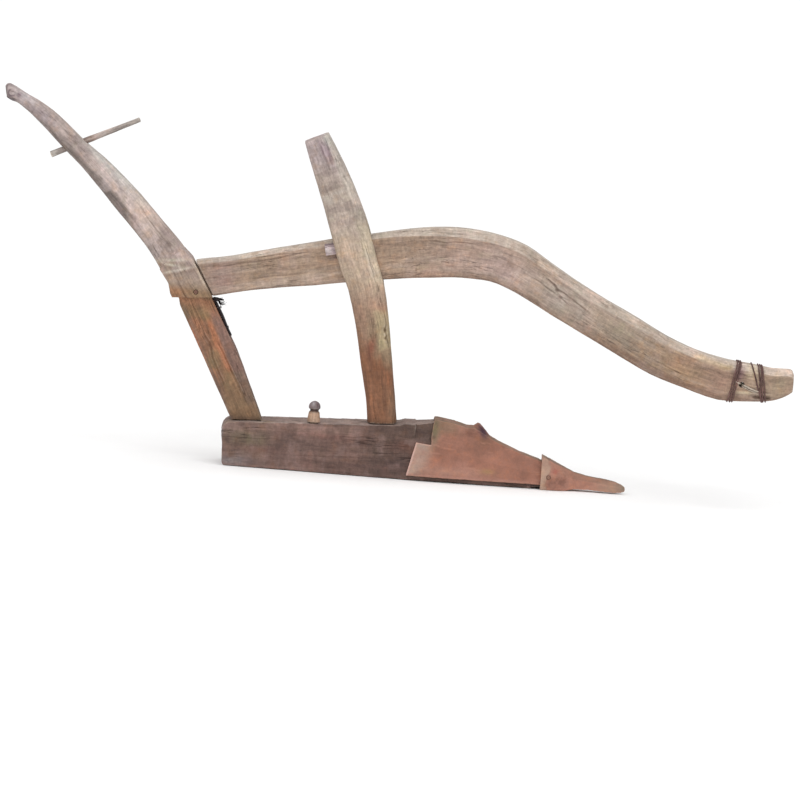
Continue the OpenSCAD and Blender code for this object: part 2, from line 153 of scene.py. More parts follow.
def normals_of(mesh):
    n = np.empty(len(mesh.vertices) * 3, np.float32)
    mesh.vertex_normals.foreach_get("vector", n)
    return n.reshape(-1, 3).astype(float)


def put_points(mesh, co):
    mesh.vertices.foreach_set("co", co.astype(np.float32).ravel())
    mesh.update()


def edges_of(mesh):
    e = np.empty(len(mesh.edges) * 2, np.int32)
    mesh.edges.foreach_get("vertices", e)
    return e.reshape(-1, 2)


def degrees(edges, size):
    """How many neighbours each point has."""
    return np.maximum(np.bincount(edges.ravel(), minlength=size), 1)


def mean_of_neighbours(values, edges, count):
    n = len(count)
    a, b = edges.T
    sums = [np.bincount(a, v[b], n) + np.bincount(b, v[a], n) for v in values.T]
    return np.stack(sums, 1) / count[:, None]


def relaxed(co, edges, weight, rounds):
    """Points drawn towards the mean of their neighbours, which rounds off the edges."""
    count = degrees(edges, len(co))
    for _ in range(rounds):
        co = co + weight[:, None] * (mean_of_neighbours(co, edges, count) - co)
    return co


def attribute(mesh, name, values):
    """One number, vector or colour for each point, for the materials to read."""
    width = 1 if values.ndim == 1 else values.shape[1]
    kind, field = {1: ("FLOAT", "value"), 3: ("FLOAT_VECTOR", "vector"), 4: ("FLOAT_COLOR", "color")}[width]
    data = mesh.attributes.new(name, kind, "POINT").data
    data.foreach_set(field, values.astype(np.float32).ravel())


def dress(mesh, grain, paint, wear, dark, material):
    """What the wood and iron materials read from a mesh, and its material."""
    attribute(mesh, "grain", grain)
    attribute(mesh, "tint", paint.tint())
    attribute(mesh, "wear", wear)
    attribute(mesh, "dark", dark)
    mesh.polygons.foreach_set("use_smooth", np.ones(len(mesh.polygons), bool))
    mesh.materials.clear()
    mesh.materials.append(material)


def place_piece(name, mesh, body, node=None):
    """A visual piece that moves with a body and may replace a CAD node."""
    ob = bpy.data.objects.new(name, mesh)
    SCENE.collection.objects.link(ob)
    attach(ob, body)
    if node:
        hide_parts(node)


def along(co, path):
    """For points co, distance along a side-view path [x, z] in mm, and signed distance from it."""
    q = co[:, [0, 2]]
    p = np.array(path, float) / MM
    best = np.full(len(q), np.inf)
    s, d = np.zeros(len(q)), np.zeros(len(q))
    run = 0.0
    for i in range(len(p) - 1):
        ab = p[i + 1] - p[i]
        size = np.linalg.norm(ab)
        t = ((q - p[i]) @ ab) / size**2
        # both ends of the path run on straight
        t = np.clip(t, -9 if i == 0 else 0, 9 if i == len(p) - 2 else 1)
        off = q - (p[i] + t[:, None] * ab)
        dist = np.linalg.norm(off, axis=1)
        use = dist < best
        side = np.sign(ab[0] * off[:, 1] - ab[1] * off[:, 0])
        best = np.where(use, dist, best)
        s = np.where(use, run + t * size, s)
        d = np.where(use, side * dist, d)
        run += size
    return s, d


# ---------- Colours ----------


def lin(c):
    """Linear colour from sRGB values of 0 to 255."""
    c = np.array(c, float) / 255
    return np.where(c <= 0.04045, c / 12.92, ((c + 0.055) / 1.055) ** 2.4)


class Paint:
    """Colour at every point of a mesh, built up from soft patches in millimetres."""

    level = 0.80  # brings the render to the photograph's brightness

    def __init__(self, co, base):
        self.x, self.y, self.z = (co * MM).T
        self.c = np.tile(lin(base), (len(co), 1))

    def mix(self, colour, mask):
        m = np.clip(mask, 0, 1)[:, None]
        self.c = self.c * (1 - m) + lin(colour) * m

    def spot(self, x, z, rx, rz, turn=0.0):
        a = math.radians(turn)
        dx, dz = self.x - x, self.z - z
        u, v = dx * math.cos(a) + dz * math.sin(a), dz * math.cos(a) - dx * math.sin(a)
        return np.exp(-((u / rx) ** 2) - (v / rz) ** 2)

    def tint(self):
        return np.concatenate([np.clip(self.c * self.level, 0, 1), np.ones((len(self.c), 1))], 1)


# ---------- Materials ----------


class Shader:
    """Short way to build a material's nodes."""

    def __init__(self, name):
        self.mat = bpy.data.materials.new(name)
        self.mat.use_nodes = True
        self.tree = self.mat.node_tree
        self.tree.nodes.clear()
        self.out = self.add("ShaderNodeOutputMaterial")
        self.bsdf = self.add("ShaderNodeBsdfPrincipled")
        self.tree.links.new(self.bsdf.outputs[0], self.out.inputs["Surface"])

    def add(self, kind, **values):
        n = self.tree.nodes.new(kind)
        for k, v in values.items():
            setattr(n, k, v)
        return n

    def link(self, a, b):
        self.tree.links.new(a, b)

    def attr(self, name, output="Vector"):
        return self.add("ShaderNodeAttribute", attribute_name=name).outputs[output]

    def scaled(self, vec, scale):
        m = self.add("ShaderNodeMapping")
        m.inputs["Scale"].default_value = scale
        self.link(vec, m.inputs["Vector"])
        return m.outputs[0]

    def noise(self, vec, scale, detail=4.0, rough=0.55, distort=0.0):
        n = self.add("ShaderNodeTexNoise")
        n.inputs["Scale"].default_value = scale
        n.inputs["Detail"].default_value = detail
        n.inputs["Roughness"].default_value = rough
        n.inputs["Distortion"].default_value = distort
        self.link(vec, n.inputs["Vector"])
        return n.outputs[0]

    def span(self, value, a, b, low=0.0, high=1.0, smooth=True):
        n = self.add("ShaderNodeMapRange")
        n.interpolation_type = "SMOOTHSTEP" if smooth else "LINEAR"
        for k, v in (("From Min", a), ("From Max", b), ("To Min", low), ("To Max", high)):
            n.inputs[k].default_value = v
        self.link(value, n.inputs["Value"])
        return n.outputs[0]

    def feed(self, value, socket):
        """A number or a colour set on the socket, or another node's output linked to it."""
        if isinstance(value, (int, float)):
            socket.default_value = value
        elif isinstance(value, (tuple, np.ndarray)):
            socket.default_value = (*map(float, value), 1.0)
        else:
            self.link(value, socket)

    def math(self, op, *values):
        n = self.add("ShaderNodeMath", operation=op)
        for i, value in enumerate(values):
            self.feed(value, n.inputs[i])
        return n.outputs[0]

    def blend(self, kind, factor, a, b):
        n = self.add("ShaderNodeMix", data_type="RGBA", blend_type=kind)
        for i, value in ((0, factor), (6, a), (7, b)):  # the colour inputs of a Mix node are 6 and 7
            self.feed(value, n.inputs[i])
        return n.outputs[2]

    def bump(self, height, strength, distance):
        n = self.add("ShaderNodeBump")
        n.inputs["Strength"].default_value = strength
        n.inputs["Distance"].default_value = distance
        self.link(height, n.inputs["Height"])
        self.link(n.outputs[0], self.bsdf.inputs["Normal"])

    def grey(self, value):
        n = self.add("ShaderNodeCombineColor")
        for i in range(3):
            self.link(value, n.inputs[i])
        return n.outputs[0]


def wood(name, streak=0.17, fibre=0.24, speck=0.17, blotch=0.15, checks=0.5, dust=0.2):
    """Weathered timber: its colour comes with each point, the grain follows the timber's own line."""
    m = Shader(name)
    grain = m.attr("grain")
    place = m.add("ShaderNodeTexCoord").outputs["Object"]
    wide = m.noise(m.scaled(grain, (10, 58, 58)), 1.0, 4, 0.6, 0.6)
    fine = m.noise(m.scaled(grain, (34, 240, 240)), 1.0, 5, 0.62, 0.35)
    hair = m.noise(m.scaled(grain, (120, 1100, 1100)), 1.0, 3, 0.55)
    patch = m.noise(place, 12.0, 5, 0.65)
    small = m.noise(place, 40.0, 4, 0.6)
    grit = m.noise(place, 150.0, 4, 0.65)
    ripple = m.noise(m.scaled(grain, (150, 36, 36)), 1.0, 3, 0.55, 0.8)
    line = m.noise(m.scaled(grain, (7, 130, 130)), 1.0, 3, 0.45, 0.6)
    close = m.span(m.math("ABSOLUTE", m.math("SUBTRACT", line, 0.5)), 0.0, 0.016, 1.0, 0.0)
    where = m.span(m.noise(m.scaled(grain, (9, 26, 26)), 1.0, 2), 0.52, 0.64)
    check = m.math("MULTIPLY", close, where)
    level = m.span(wide, 0.3, 0.7, 1 - streak, 1 + streak, False)
    for value, amount in ((fine, fibre), (grit, speck), (patch, blotch), (ripple, 0.10), (hair, 0.08)):
        level = m.math("MULTIPLY", level, m.span(value, 0.3, 0.7, 1 - amount, 1 + amount, False))
    colour = m.blend("MULTIPLY", 1.0, m.attr("tint", "Color"), m.grey(level))
    for value, low, high, tinge in (
        (small, 0.50, 0.72, (1.07, 0.97, 0.86)),
        (small, 0.46, 0.28, (0.97, 1.01, 0.95)),
        (patch, 0.52, 0.70, (1.05, 0.97, 0.97)),
    ):
        tinged = m.blend("MULTIPLY", 1.0, colour, tinge)
        colour = m.blend("MIX", m.span(value, low, high, 0.0, 0.8), colour, tinged)
    pale = m.blend("MIX", 0.5, colour, lin((196, 186, 174)))
    worn = m.math("MULTIPLY", m.attr("wear", "Fac"), m.span(fine, 0.35, 0.65, dust, 0.9))
    colour = m.blend("MIX", worn, colour, pale)
    deep = m.blend("MULTIPLY", 1.0, colour, (0.30, 0.24, 0.21))
    colour = m.blend("MIX", m.math("MULTIPLY", check, checks), colour, deep)
    colour = m.blend("MIX", m.math("MULTIPLY", m.span(grit, 0.64, 0.74), 0.35), colour, deep)
    colour = m.blend("MIX", m.attr("dark", "Fac"), colour, deep)
    m.link(colour, m.bsdf.inputs["Base Color"])
    m.link(m.span(fine, 0.25, 0.75, 0.72, 0.95), m.bsdf.inputs["Roughness"])
    m.bsdf.inputs["Specular IOR Level"].default_value = 0.28
    height = m.math("ADD", m.math("MULTIPLY", fine, 1.0), m.math("MULTIPLY", hair, 0.35))
    height = m.math("ADD", height, m.math("MULTIPLY", ripple, 0.4))
    height = m.math("ADD", height, m.math("MULTIPLY", grit, 0.5))
    height = m.math("SUBTRACT", height, m.math("MULTIPLY", check, 1.6))
    m.bump(height, 0.8, 0.0010)
    return m.mat


def iron(name, rust=0.4, shine=0.12, dark=(84, 52, 44), bright=(188, 140, 120)):
    """Rusted iron: pits, flakes, orange bloom and worn, paler scratches."""
    m = Shader(name)
    grain = m.attr("grain")
    place = m.add("ShaderNodeTexCoord").outputs["Object"]
    broad = m.noise(place, 12.0, 6, 0.66, 0.4)
    flake = m.noise(place, 60.0, 6, 0.68, 0.3)
    pit = m.noise(place, 260.0, 4, 0.65)
    scratch = m.noise(m.scaled(grain, (7, 160, 160)), 1.0, 4, 0.55, 0.5)
    colour = m.attr("tint", "Color")
    level = m.span(broad, 0.3, 0.7, 0.80, 1.20, False)
    for value, amount in ((flake, 0.16), (pit, 0.08)):
        level = m.math("MULTIPLY", level, m.span(value, 0.3, 0.7, 1 - amount, 1 + amount, False))
    colour = m.blend("MULTIPLY", 1.0, colour, m.grey(level))
    bloom = m.blend("MULTIPLY", 1.0, colour, (1.10, 0.97, 0.80))
    colour = m.blend("MIX", m.span(flake, 0.50, 0.66, 0.0, rust), colour, bloom)
    low = m.blend("MIX", 0.6, colour, lin(dark))
    colour = m.blend("MIX", m.span(broad, 0.40, 0.28, 0.0, 0.7), colour, low)
    colour = m.blend("MIX", m.span(pit, 0.62, 0.74, 0.0, 0.55), colour, low)
    high = m.blend("MIX", 0.6, colour, lin(bright))
    colour = m.blend("MIX", m.math("MULTIPLY", m.span(scratch, 0.58, 0.72), 0.35), colour, high)
    colour = m.blend("MIX", m.math("MULTIPLY", m.attr("wear", "Fac"), 0.6), colour, high)
    deep = m.blend("MULTIPLY", 1.0, colour, (0.26, 0.18, 0.16))
    colour = m.blend("MIX", m.attr("dark", "Fac"), colour, deep)
    m.link(colour, m.bsdf.inputs["Base Color"])
    m.link(m.span(flake, 0.3, 0.7, 0.62, 0.90), m.bsdf.inputs["Roughness"])
    m.bsdf.inputs["Metallic"].default_value = shine
    m.bsdf.inputs["Specular IOR Level"].default_value = 0.35
    height = m.math("ADD", m.math("MULTIPLY", flake, 1.0), m.math("MULTIPLY", pit, 0.45))
    height = m.math("ADD", height, m.math("MULTIPLY", scratch, 0.5))
    m.bump(height, 0.8, 0.0007)
    return m.mat


# ---------- Carving ----------


class Work:
    """A CAD node's surface, made even, worn and carved inwards, then painted.

    path is the side-view line that its grain follows. Each of rounded is a place x, z in mm, a radius
    and how many more rounds of wear it gets there."""

    def __init__(self, node, step, path, wear_rounds=4, seed=1, rounded=()):
        self.node, self.seed = node, seed
        self.step = step * COARSE
        self.mesh = even_mesh(node, step)
        self.edges = edges_of(self.mesh)
        co = points_of(self.mesh)
        unevenly = 0.24 + 0.34 * fbm(co * 24, 2, seed)
        co = relaxed(co, self.edges, np.clip(unevenly, 0.05, 0.55), wear_rounds)
        for x, z, r, rounds in rounded:
            near = np.exp(-(((co[:, 0] * MM - x) / r) ** 2) - ((co[:, 2] * MM - z) / r) ** 2)
            co = relaxed(co, self.edges, near * 0.6, rounds)
        # the grain's own directions, in metres: along the line, off it, and across
        self.s, self.d = along(co, path)
        self.y = co[:, 1]
        self.depth = np.zeros(len(co))
        self.dark = np.zeros(len(co))
        self.shape(co)

    def shape(self, co):
        """Sets the points, and the normals that the carving follows."""
        self.co = co
        put_points(self.mesh, co)
        self.n = normals_of(self.mesh)

    def darken(self, mask):
        self.dark = np.maximum(self.dark, mask)

    def grain(self):
        return np.stack([self.s, self.d, self.y], 1)

    def knot(self, at, side, r, sink=0.8, dark=0.6):
        """A knot on one side face, at mm along and off the line: the grain bends round it."""
        ds, dd = self.s * MM - at[0], self.d * MM - at[1]
        face = ramp(side * self.y * MM, 5, 15)
        q = np.sqrt((ds / 1.5) ** 2 + dd**2) / r
        self.d = self.d + np.sign(dd) * 0.6 / MM * r * np.exp(-(q**2) / 3) * face
        heart, rim = np.exp(-((q / 0.8) ** 2)), np.exp(-(((q - 1.4) / 0.5) ** 2))
        self.depth += face * sink / MM * (heart - 0.45 * rim)
        self.darken(dark * face * np.exp(-((q / 0.75) ** 4)))

    def split(self, start, end, side, width, deep, dark=0.5, wander=1.2, seed=0):
        """A crack along the grain on one side face, between two places as in knot. All in mm."""
        s, d = self.s * MM, self.d * MM
        t = (s - start[0]) / (end[0] - start[0])
        line = start[1] + (end[1] - start[1]) * t
        line += wander * fbm(np.stack([s / 30, s * 0 + seed, s * 0], 1), 3, self.seed + seed)
        ends = ramp(t, 0, 0.18) * ramp(1 - t, 0, 0.25)
        face = ramp(side * self.y * MM, 2, 12)
        wide = width * (0.45 + 0.55 * ends)
        m = np.exp(-(((d - line) / wide) ** 2)) * ends * face
        self.depth += deep / MM * m
        self.darken(dark * np.clip(m * 1.3, 0, 1))

    def hewn(self, size=(0.045, 0.024, 0.024), deep=0.0006, grooves=0.0004, lumps=0.0008):
        """The marks of the adze, weathered grooves along the grain and a general unevenness."""
        g = self.grain()
        dish = np.clip(1 - (cells(g / np.array(size), self.seed) / 0.75) ** 2, 0, 1)
        self.depth += deep * dish
        self.depth += grooves * (0.5 + 0.5 * fbm(g * np.array([9, 115, 115]), 2, self.seed + 5))
        self.depth += lumps * (0.5 + 0.5 * fbm(g * np.array([6, 16, 16]), 2, self.seed + 9))

    def finish(self, paint, material, slot):
        """Carves, paints and places the piece, where convex edges count as worn."""
        co = self.co - self.n * np.maximum(self.depth, 0)[:, None]
        put_points(self.mesh, co)
        count = degrees(self.edges, len(co))
        bend = (co - mean_of_neighbours(co, self.edges, count)) * normals_of(self.mesh)
        bend = bend.sum(1)[:, None]
        for _ in range(2):
            bend = mean_of_neighbours(bend, self.edges, count)
        wear = np.clip(bend[:, 0] / (0.055 * self.step) - 0.35, 0, 1)
        dress(self.mesh, self.grain(), paint, wear, np.clip(self.dark, 0, 1), material)
        place_piece(self.node + ".worn", self.mesh, NODES[self.node]["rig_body"], self.node)


def streaks(work, size, seed):
    """Noise drawn out along the grain."""
    return fbm(work.grain() * np.array(size), 3, seed)


def mottle(work, paint, light, dark, amount, seed):
    """Soft blotches a few centimetres across, lighter and darker than the ground colour."""
    soft = fbm(work.co * 34, 3, 40 + seed)
    paint.mix(light, ramp(soft, 0.08, 0.45) * amount)
    paint.mix(dark, ramp(-soft, 0.08, 0.45) * amount)


# ---------- Materials used, and the side-view lines that the grain follows, [x, z] in mm ----------

WOOD = wood("weathered_wood")
DARK_WOOD = wood("earth_stained_wood", streak=0.20, fibre=0.14, blotch=0.24, checks=0.6, dust=0.1)
PEG_WOOD = wood("whittled_wood", streak=0.22, fibre=0.2, blotch=0.2)
RUST = iron("rusted_share")
BLACK = iron("black_iron", rust=0.25, shine=0.35, dark=(18, 15, 15), bright=(96, 84, 78))
WIRE = iron("binding_wire", rust=0.35, shine=0.4, dark=(28, 20, 20), bright=(120, 88, 76))

HANDLE_LINE = [
    [-930, 815], [-909, 813], [-878, 799], [-849, 781], [-813, 754], [-763, 710], [-730, 683], [-693, 651],
    [-624, 585], [-560, 518], [-522, 475], [-497, 439], [-455, 380], [-424, 320], [-390, 250], [-345, 165],
    [-314, 105], [-262, 3],
]
STRUT_LINE = [
    [-206, 768], [-171, 698], [-133, 619], [-106, 548], [-84, 484], [-64, 439], [-43, 356], [-26, 268],
    [-9, 178], [-1, 121], [14, 3],
]
BEAM_LINE = [
    [-500, 405], [-434, 424], [-360, 440], [-280, 458], [-201, 474], [-133, 488], [-60, 502], [11, 515],
    [90, 527], [160, 530], [228, 524], [282, 507], [336, 478], [395, 445], [470, 406], [548, 368],
    [623, 331], [698, 305], [775, 286], [848, 284], [893, 284], [937, 290],
]
SOLE_LINE = [[-370, 50], [80, 60], [240, 55], [425, 20]]
SHARE_LINE = [[50, 50], [240, 45], [425, 25], [580, 12]]

HITCH = (0.818, 0.281)  # the hitch hole's x and z, in metres

# In what follows w is the piece being carved and p its paint. Knots, splits and patches of paint are
# placed in mm.


# ---------- The handle ----------


def handle():
    """Grey at the grip, pinkish grey along the curve, brown and streaked in the leg."""
    w = Work("handle", 0.0015, HANDLE_LINE, 3, 11, [(-925, 815, 12, 8)])
    for s, d, r in ((17, 6, 6), (205, 6, 6), (420, -12, 8), (520, 14, 8), (770, -6, 8)):
        w.knot((s, d), NEAR, r, sink=0.6, dark=0.45)
    w.split((395, 16), (560, 6), NEAR, 1.1, 1.4, dark=0.35, seed=1)
    w.split((560, -10), (668, -18), NEAR, 1.2, 1.4, dark=0.35, seed=3)
    w.split((720, -12), (900, -16), NEAR, 1.1, 1.4, dark=0.4, seed=5)
    w.split((760, 12), (930, 16), NEAR, 1.1, 1.4, dark=0.4, seed=8)
    w.split((560, 0), (700, 8), FAR, 1.5, 2.0, seed=6)
    w.split((300, 4), (520, 0), FAR, 1.5, 2.0, seed=7)
    w.hewn()
    # the knob, fuller below than in the CAD model, with rings cut into its end
    knob_x, knob_z = -910, 815
    swell = np.exp(-(((w.co[:, 0] * MM + 909) / 11) ** 2) - ((w.co[:, 2] * MM - 797) / 9) ** 2)
    w.co += w.n * (0.0030 * swell)[:, None]
    ring = np.hypot(w.co[:, 0] * MM - knob_x, w.co[:, 2] * MM - knob_z)
    w.depth += 0.0011 * np.exp(-(((ring - 8.5) / 1.8) ** 2)) * ramp(-w.n[:, 1], 0.3, 0.7)
    p = Paint(w.co, (188, 171, 164))
    up = w.d * MM
    p.mix((148, 130, 130), ramp(-p.x, 880, 915))
    p.mix((188, 180, 180), p.spot(-880, 806, 34, 16, -35))
    p.mix((156, 140, 140), p.spot(-868, 785, 40, 12, -38) * 0.8)
    p.mix((178, 164, 166), p.spot(-826, 762, 30, 16, -42) * 0.8)
    # darker along the lower side of the grip: partly weathering, partly painted shade
    p.mix((104, 94, 88), ramp(-up, 3, 18) * ramp(-p.x, 520, 570) * (0.8 - 0.4 * ramp(-p.x, 800, 860)))
    p.mix((172, 152, 140), ramp(-up, 12, 30) * ramp(p.x, -640, -560) * ramp(p.z, 470, 500) * 0.7)
    p.mix((198, 194, 188), ramp(up, 4, 22) * ramp(-p.x, 540, 600) * ramp(p.x, -770, -700) * 0.8)
    p.mix((212, 188, 174), p.spot(-586, 566, 56, 20, -48) * 0.8)
    p.mix((196, 178, 168), p.spot(-560, 512, 40, 26, -48) * 0.6)
    p.mix((158, 140, 132), p.spot(-536, 500, 34, 40, 0) * 0.8)
    p.mix((162, 143, 129), ramp(-p.z, -474, -446))
    # light lines with dark lines just below them at the crease atop the block: painted highlight and painted
    # shadow of a carved step
    for x, z, rx, turn in ((-520, 452, 34, -8), (-498, 440, 40, 16), (-508, 463, 30, 6)):
        p.mix((206, 194, 178), p.spot(x, z, rx, 3.0, turn) * 0.9)
        p.mix((146, 126, 112), p.spot(x + 2, z - 7, rx, 2.6, turn) * 0.6)
    # pale line along the block's front edge: partly wear, partly painted highlight
    edge = np.exp(-(((p.x + 440 + (p.z - 425) * 0.68) / 5) ** 2))
    p.mix((206, 190, 172), edge * ramp(p.z, 386, 400) * ramp(-p.z, -470, -455) * 0.7)
    p.mix((140, 113, 86), ramp(-p.z, -420, -388) * 0.9)
    p.mix((156, 112, 84), p.spot(-500, 390, 26, 12) * 0.7)
    p.mix((158, 114, 88), ramp(-p.z, -386, -372))
    lines = streaks(w, (9, 90, 90), 3)
    p.mix((182, 120, 88), ramp(lines, 0.02, 0.42) * ramp(-p.z, -382, -340) * ramp(p.z, 120, 200) * 0.7)
    p.mix((118, 90, 74), ramp(-lines, 0.05, 0.45) * ramp(-p.z, -384, -350) * 0.6)
    p.mix((128, 116, 84), ramp(fbm(w.co * 20, 2, 5), 0.05, 0.4) * ramp(-p.z, -380, -340) * 0.5)
    # purplish band down the leg's front side, below the beam: painted shade
    p.mix((134, 110, 104), ramp(up, 11, 22) * ramp(-p.z, -370, -320) * 0.7)
    p.mix((112, 92, 74), ramp(-p.z, -230, -165) * 0.6)
    p.mix((142, 114, 88), ramp(-p.z, -160, -128) * 0.8)
    p.mix((96, 76, 64), ramp(-p.z, -120, -107) * 0.6)
    p.mix((116, 98, 90), np.exp(-(((up + 30) / 5) ** 2)) * ramp(-p.z, -370, -340) * 0.5)
    mottle(w, p, (204, 188, 186), (150, 130, 130), 0.36 * ramp(p.z, 380, 470), 1)
    angle = np.arctan2(p.z - knob_z, p.x - knob_x)
    rim = np.hypot(p.x - knob_x, p.z - knob_z) + 2 * fbm(w.co * 120, 2, 6)
    p.mix((98, 90, 92), np.exp(-(((rim - 17) / 4.5) ** 2)) * ramp(-np.cos(angle - 0.7), -0.2, 0.5) * 0.9)
    p.mix((112, 98, 104), np.exp(-(((rim - 8.5) / 1.9) ** 2)) * ramp(-np.sin(angle + 0.9), -0.6, 0.1) * 0.7)
    p.mix((104, 84, 92), p.spot(-893, 812, 6, 6) * 0.8)
    w.finish(p, WOOD, "handle_wood")


# ---------- The strut ----------


def strut():
    """Grey above, tan in the middle with a yellow patch, red-brown towards its foot."""
    w = Work("strut", 0.0015, STRUT_LINE, 3, 23)
    # the grain waves near the top
    w.d = w.d + 0.0045 * fbm(w.co * np.array([16, 8, 26]), 2, 31) * ramp(w.co[:, 2], 0.53, 0.60)
    w.knot((465, 28), NEAR, 5, sink=1.6, dark=0.9)
    w.knot((484, 27), NEAR, 4, sink=1.2, dark=0.7)
    w.knot((120, -12), NEAR, 6, dark=0.4)
    w.knot((560, 6), FAR, 9)
    w.split((24, 0), (90, 3), NEAR, 1.3, 1.2, dark=0.4, seed=1)
    w.split((410, 32), (520, 33), NEAR, 1.2, 1.6, dark=0.55, seed=3)
    w.split((0, 2), (220, 0), FAR, 1.6, 2.6, seed=6)
    w.split((430, 0), (640, 6), FAR, 1.5, 2.2, seed=7)
    w.hewn()
    p = Paint(w.co, (180, 164, 152))
    up = w.d * MM
    p.mix((180, 164, 162), ramp(p.z, 660, 730))
    # light grey patch at the top front corner: painted highlight
    p.mix((206, 206, 206), p.spot(-176, 771, 10, 15, 20) * 0.9)
    p.mix((132, 110, 118), p.spot(-174, 736, 4.5, 24, 24) * 0.7 + p.spot(-190, 744, 4, 22, 22) * 0.7)
    p.mix((200, 178, 184), p.spot(-182, 740, 3.5, 22, 23) * 0.6)
    # pale band along the front side, high up: painted highlight on the chamfer
    p.mix((196, 186, 174), ramp(up, 14, 26) * ramp(p.z, 580, 640) * 0.7)
    wave = fbm(w.grain() * np.array([60, 18, 18]), 3, 7)
    p.mix((188, 178, 168), ramp(wave, 0.05, 0.4) * ramp(p.z, 560, 620) * ramp(-p.z, -720, -690) * 0.5)
    p.mix((146, 130, 124), ramp(-wave, 0.05, 0.4) * ramp(p.z, 540, 600) * ramp(-p.z, -720, -690) * 0.5)
    p.mix((186, 166, 146), ramp(-p.z, -590, -520) * ramp(p.z, 395, 440))
    # pale band and bright line along the front chamfer lower down: painted highlight
    p.mix((208, 194, 168), ramp(up, 12, 26) * ramp(p.z, 420, 470) * ramp(-p.z, -620, -560) * 0.7)
    pale = np.exp(-(((up - 25) / 4) ** 2))
    p.mix((224, 210, 188), pale * ramp(p.z, 446, 466) * ramp(-p.z, -530, -510) * 0.8)
    p.mix((166, 138, 117), ramp(-p.z, -480, -380))
    p.mix((152, 130, 106), ramp(-p.z, -400, -300))
    lines = streaks(w, (8, 85, 85), 4)
    yellow = ramp(fbm(w.co * 22, 2, 8), -0.1, 0.3) * ramp(up, 0, 14) * ramp(p.z, 262, 300)
    p.mix((184, 168, 134), yellow * ramp(-p.z, -420, -370) * 0.6)
    p.mix((158, 124, 106), ramp(-up, 6, 20) * ramp(-p.z, -420, -370) * ramp(p.z, 250, 300) * 0.6)
    edge = ramp(-p.z + 16 * fbm(w.co * 50, 3, 3) - 0.9 * up, -318, -246)
    p.mix((140, 98, 74), edge)
    p.mix((164, 104, 72), ramp(lines, 0.05, 0.4) * edge * 0.5)
    p.mix((150, 74, 58), p.spot(-40, 300, 10, 26, -8) * 0.55)
    p.mix((112, 80, 64), ramp(-lines, 0.08, 0.45) * edge * 0.5)
    p.mix((116, 84, 64), p.spot(4, 165, 16, 40) * 0.5)
    p.mix((142, 114, 92), ramp(up, 10, 26) * ramp(-p.z, -230, -170) * 0.7)
    p.mix((112, 86, 68), ramp(-p.z, -140, -118) * 0.6)
    mottle(w, p, (190, 176, 164), (146, 130, 124), 0.28 * ramp(p.z, 420, 480), 2)
    w.finish(p, WOOD, "strut_wood")


# ---------- The beam ----------


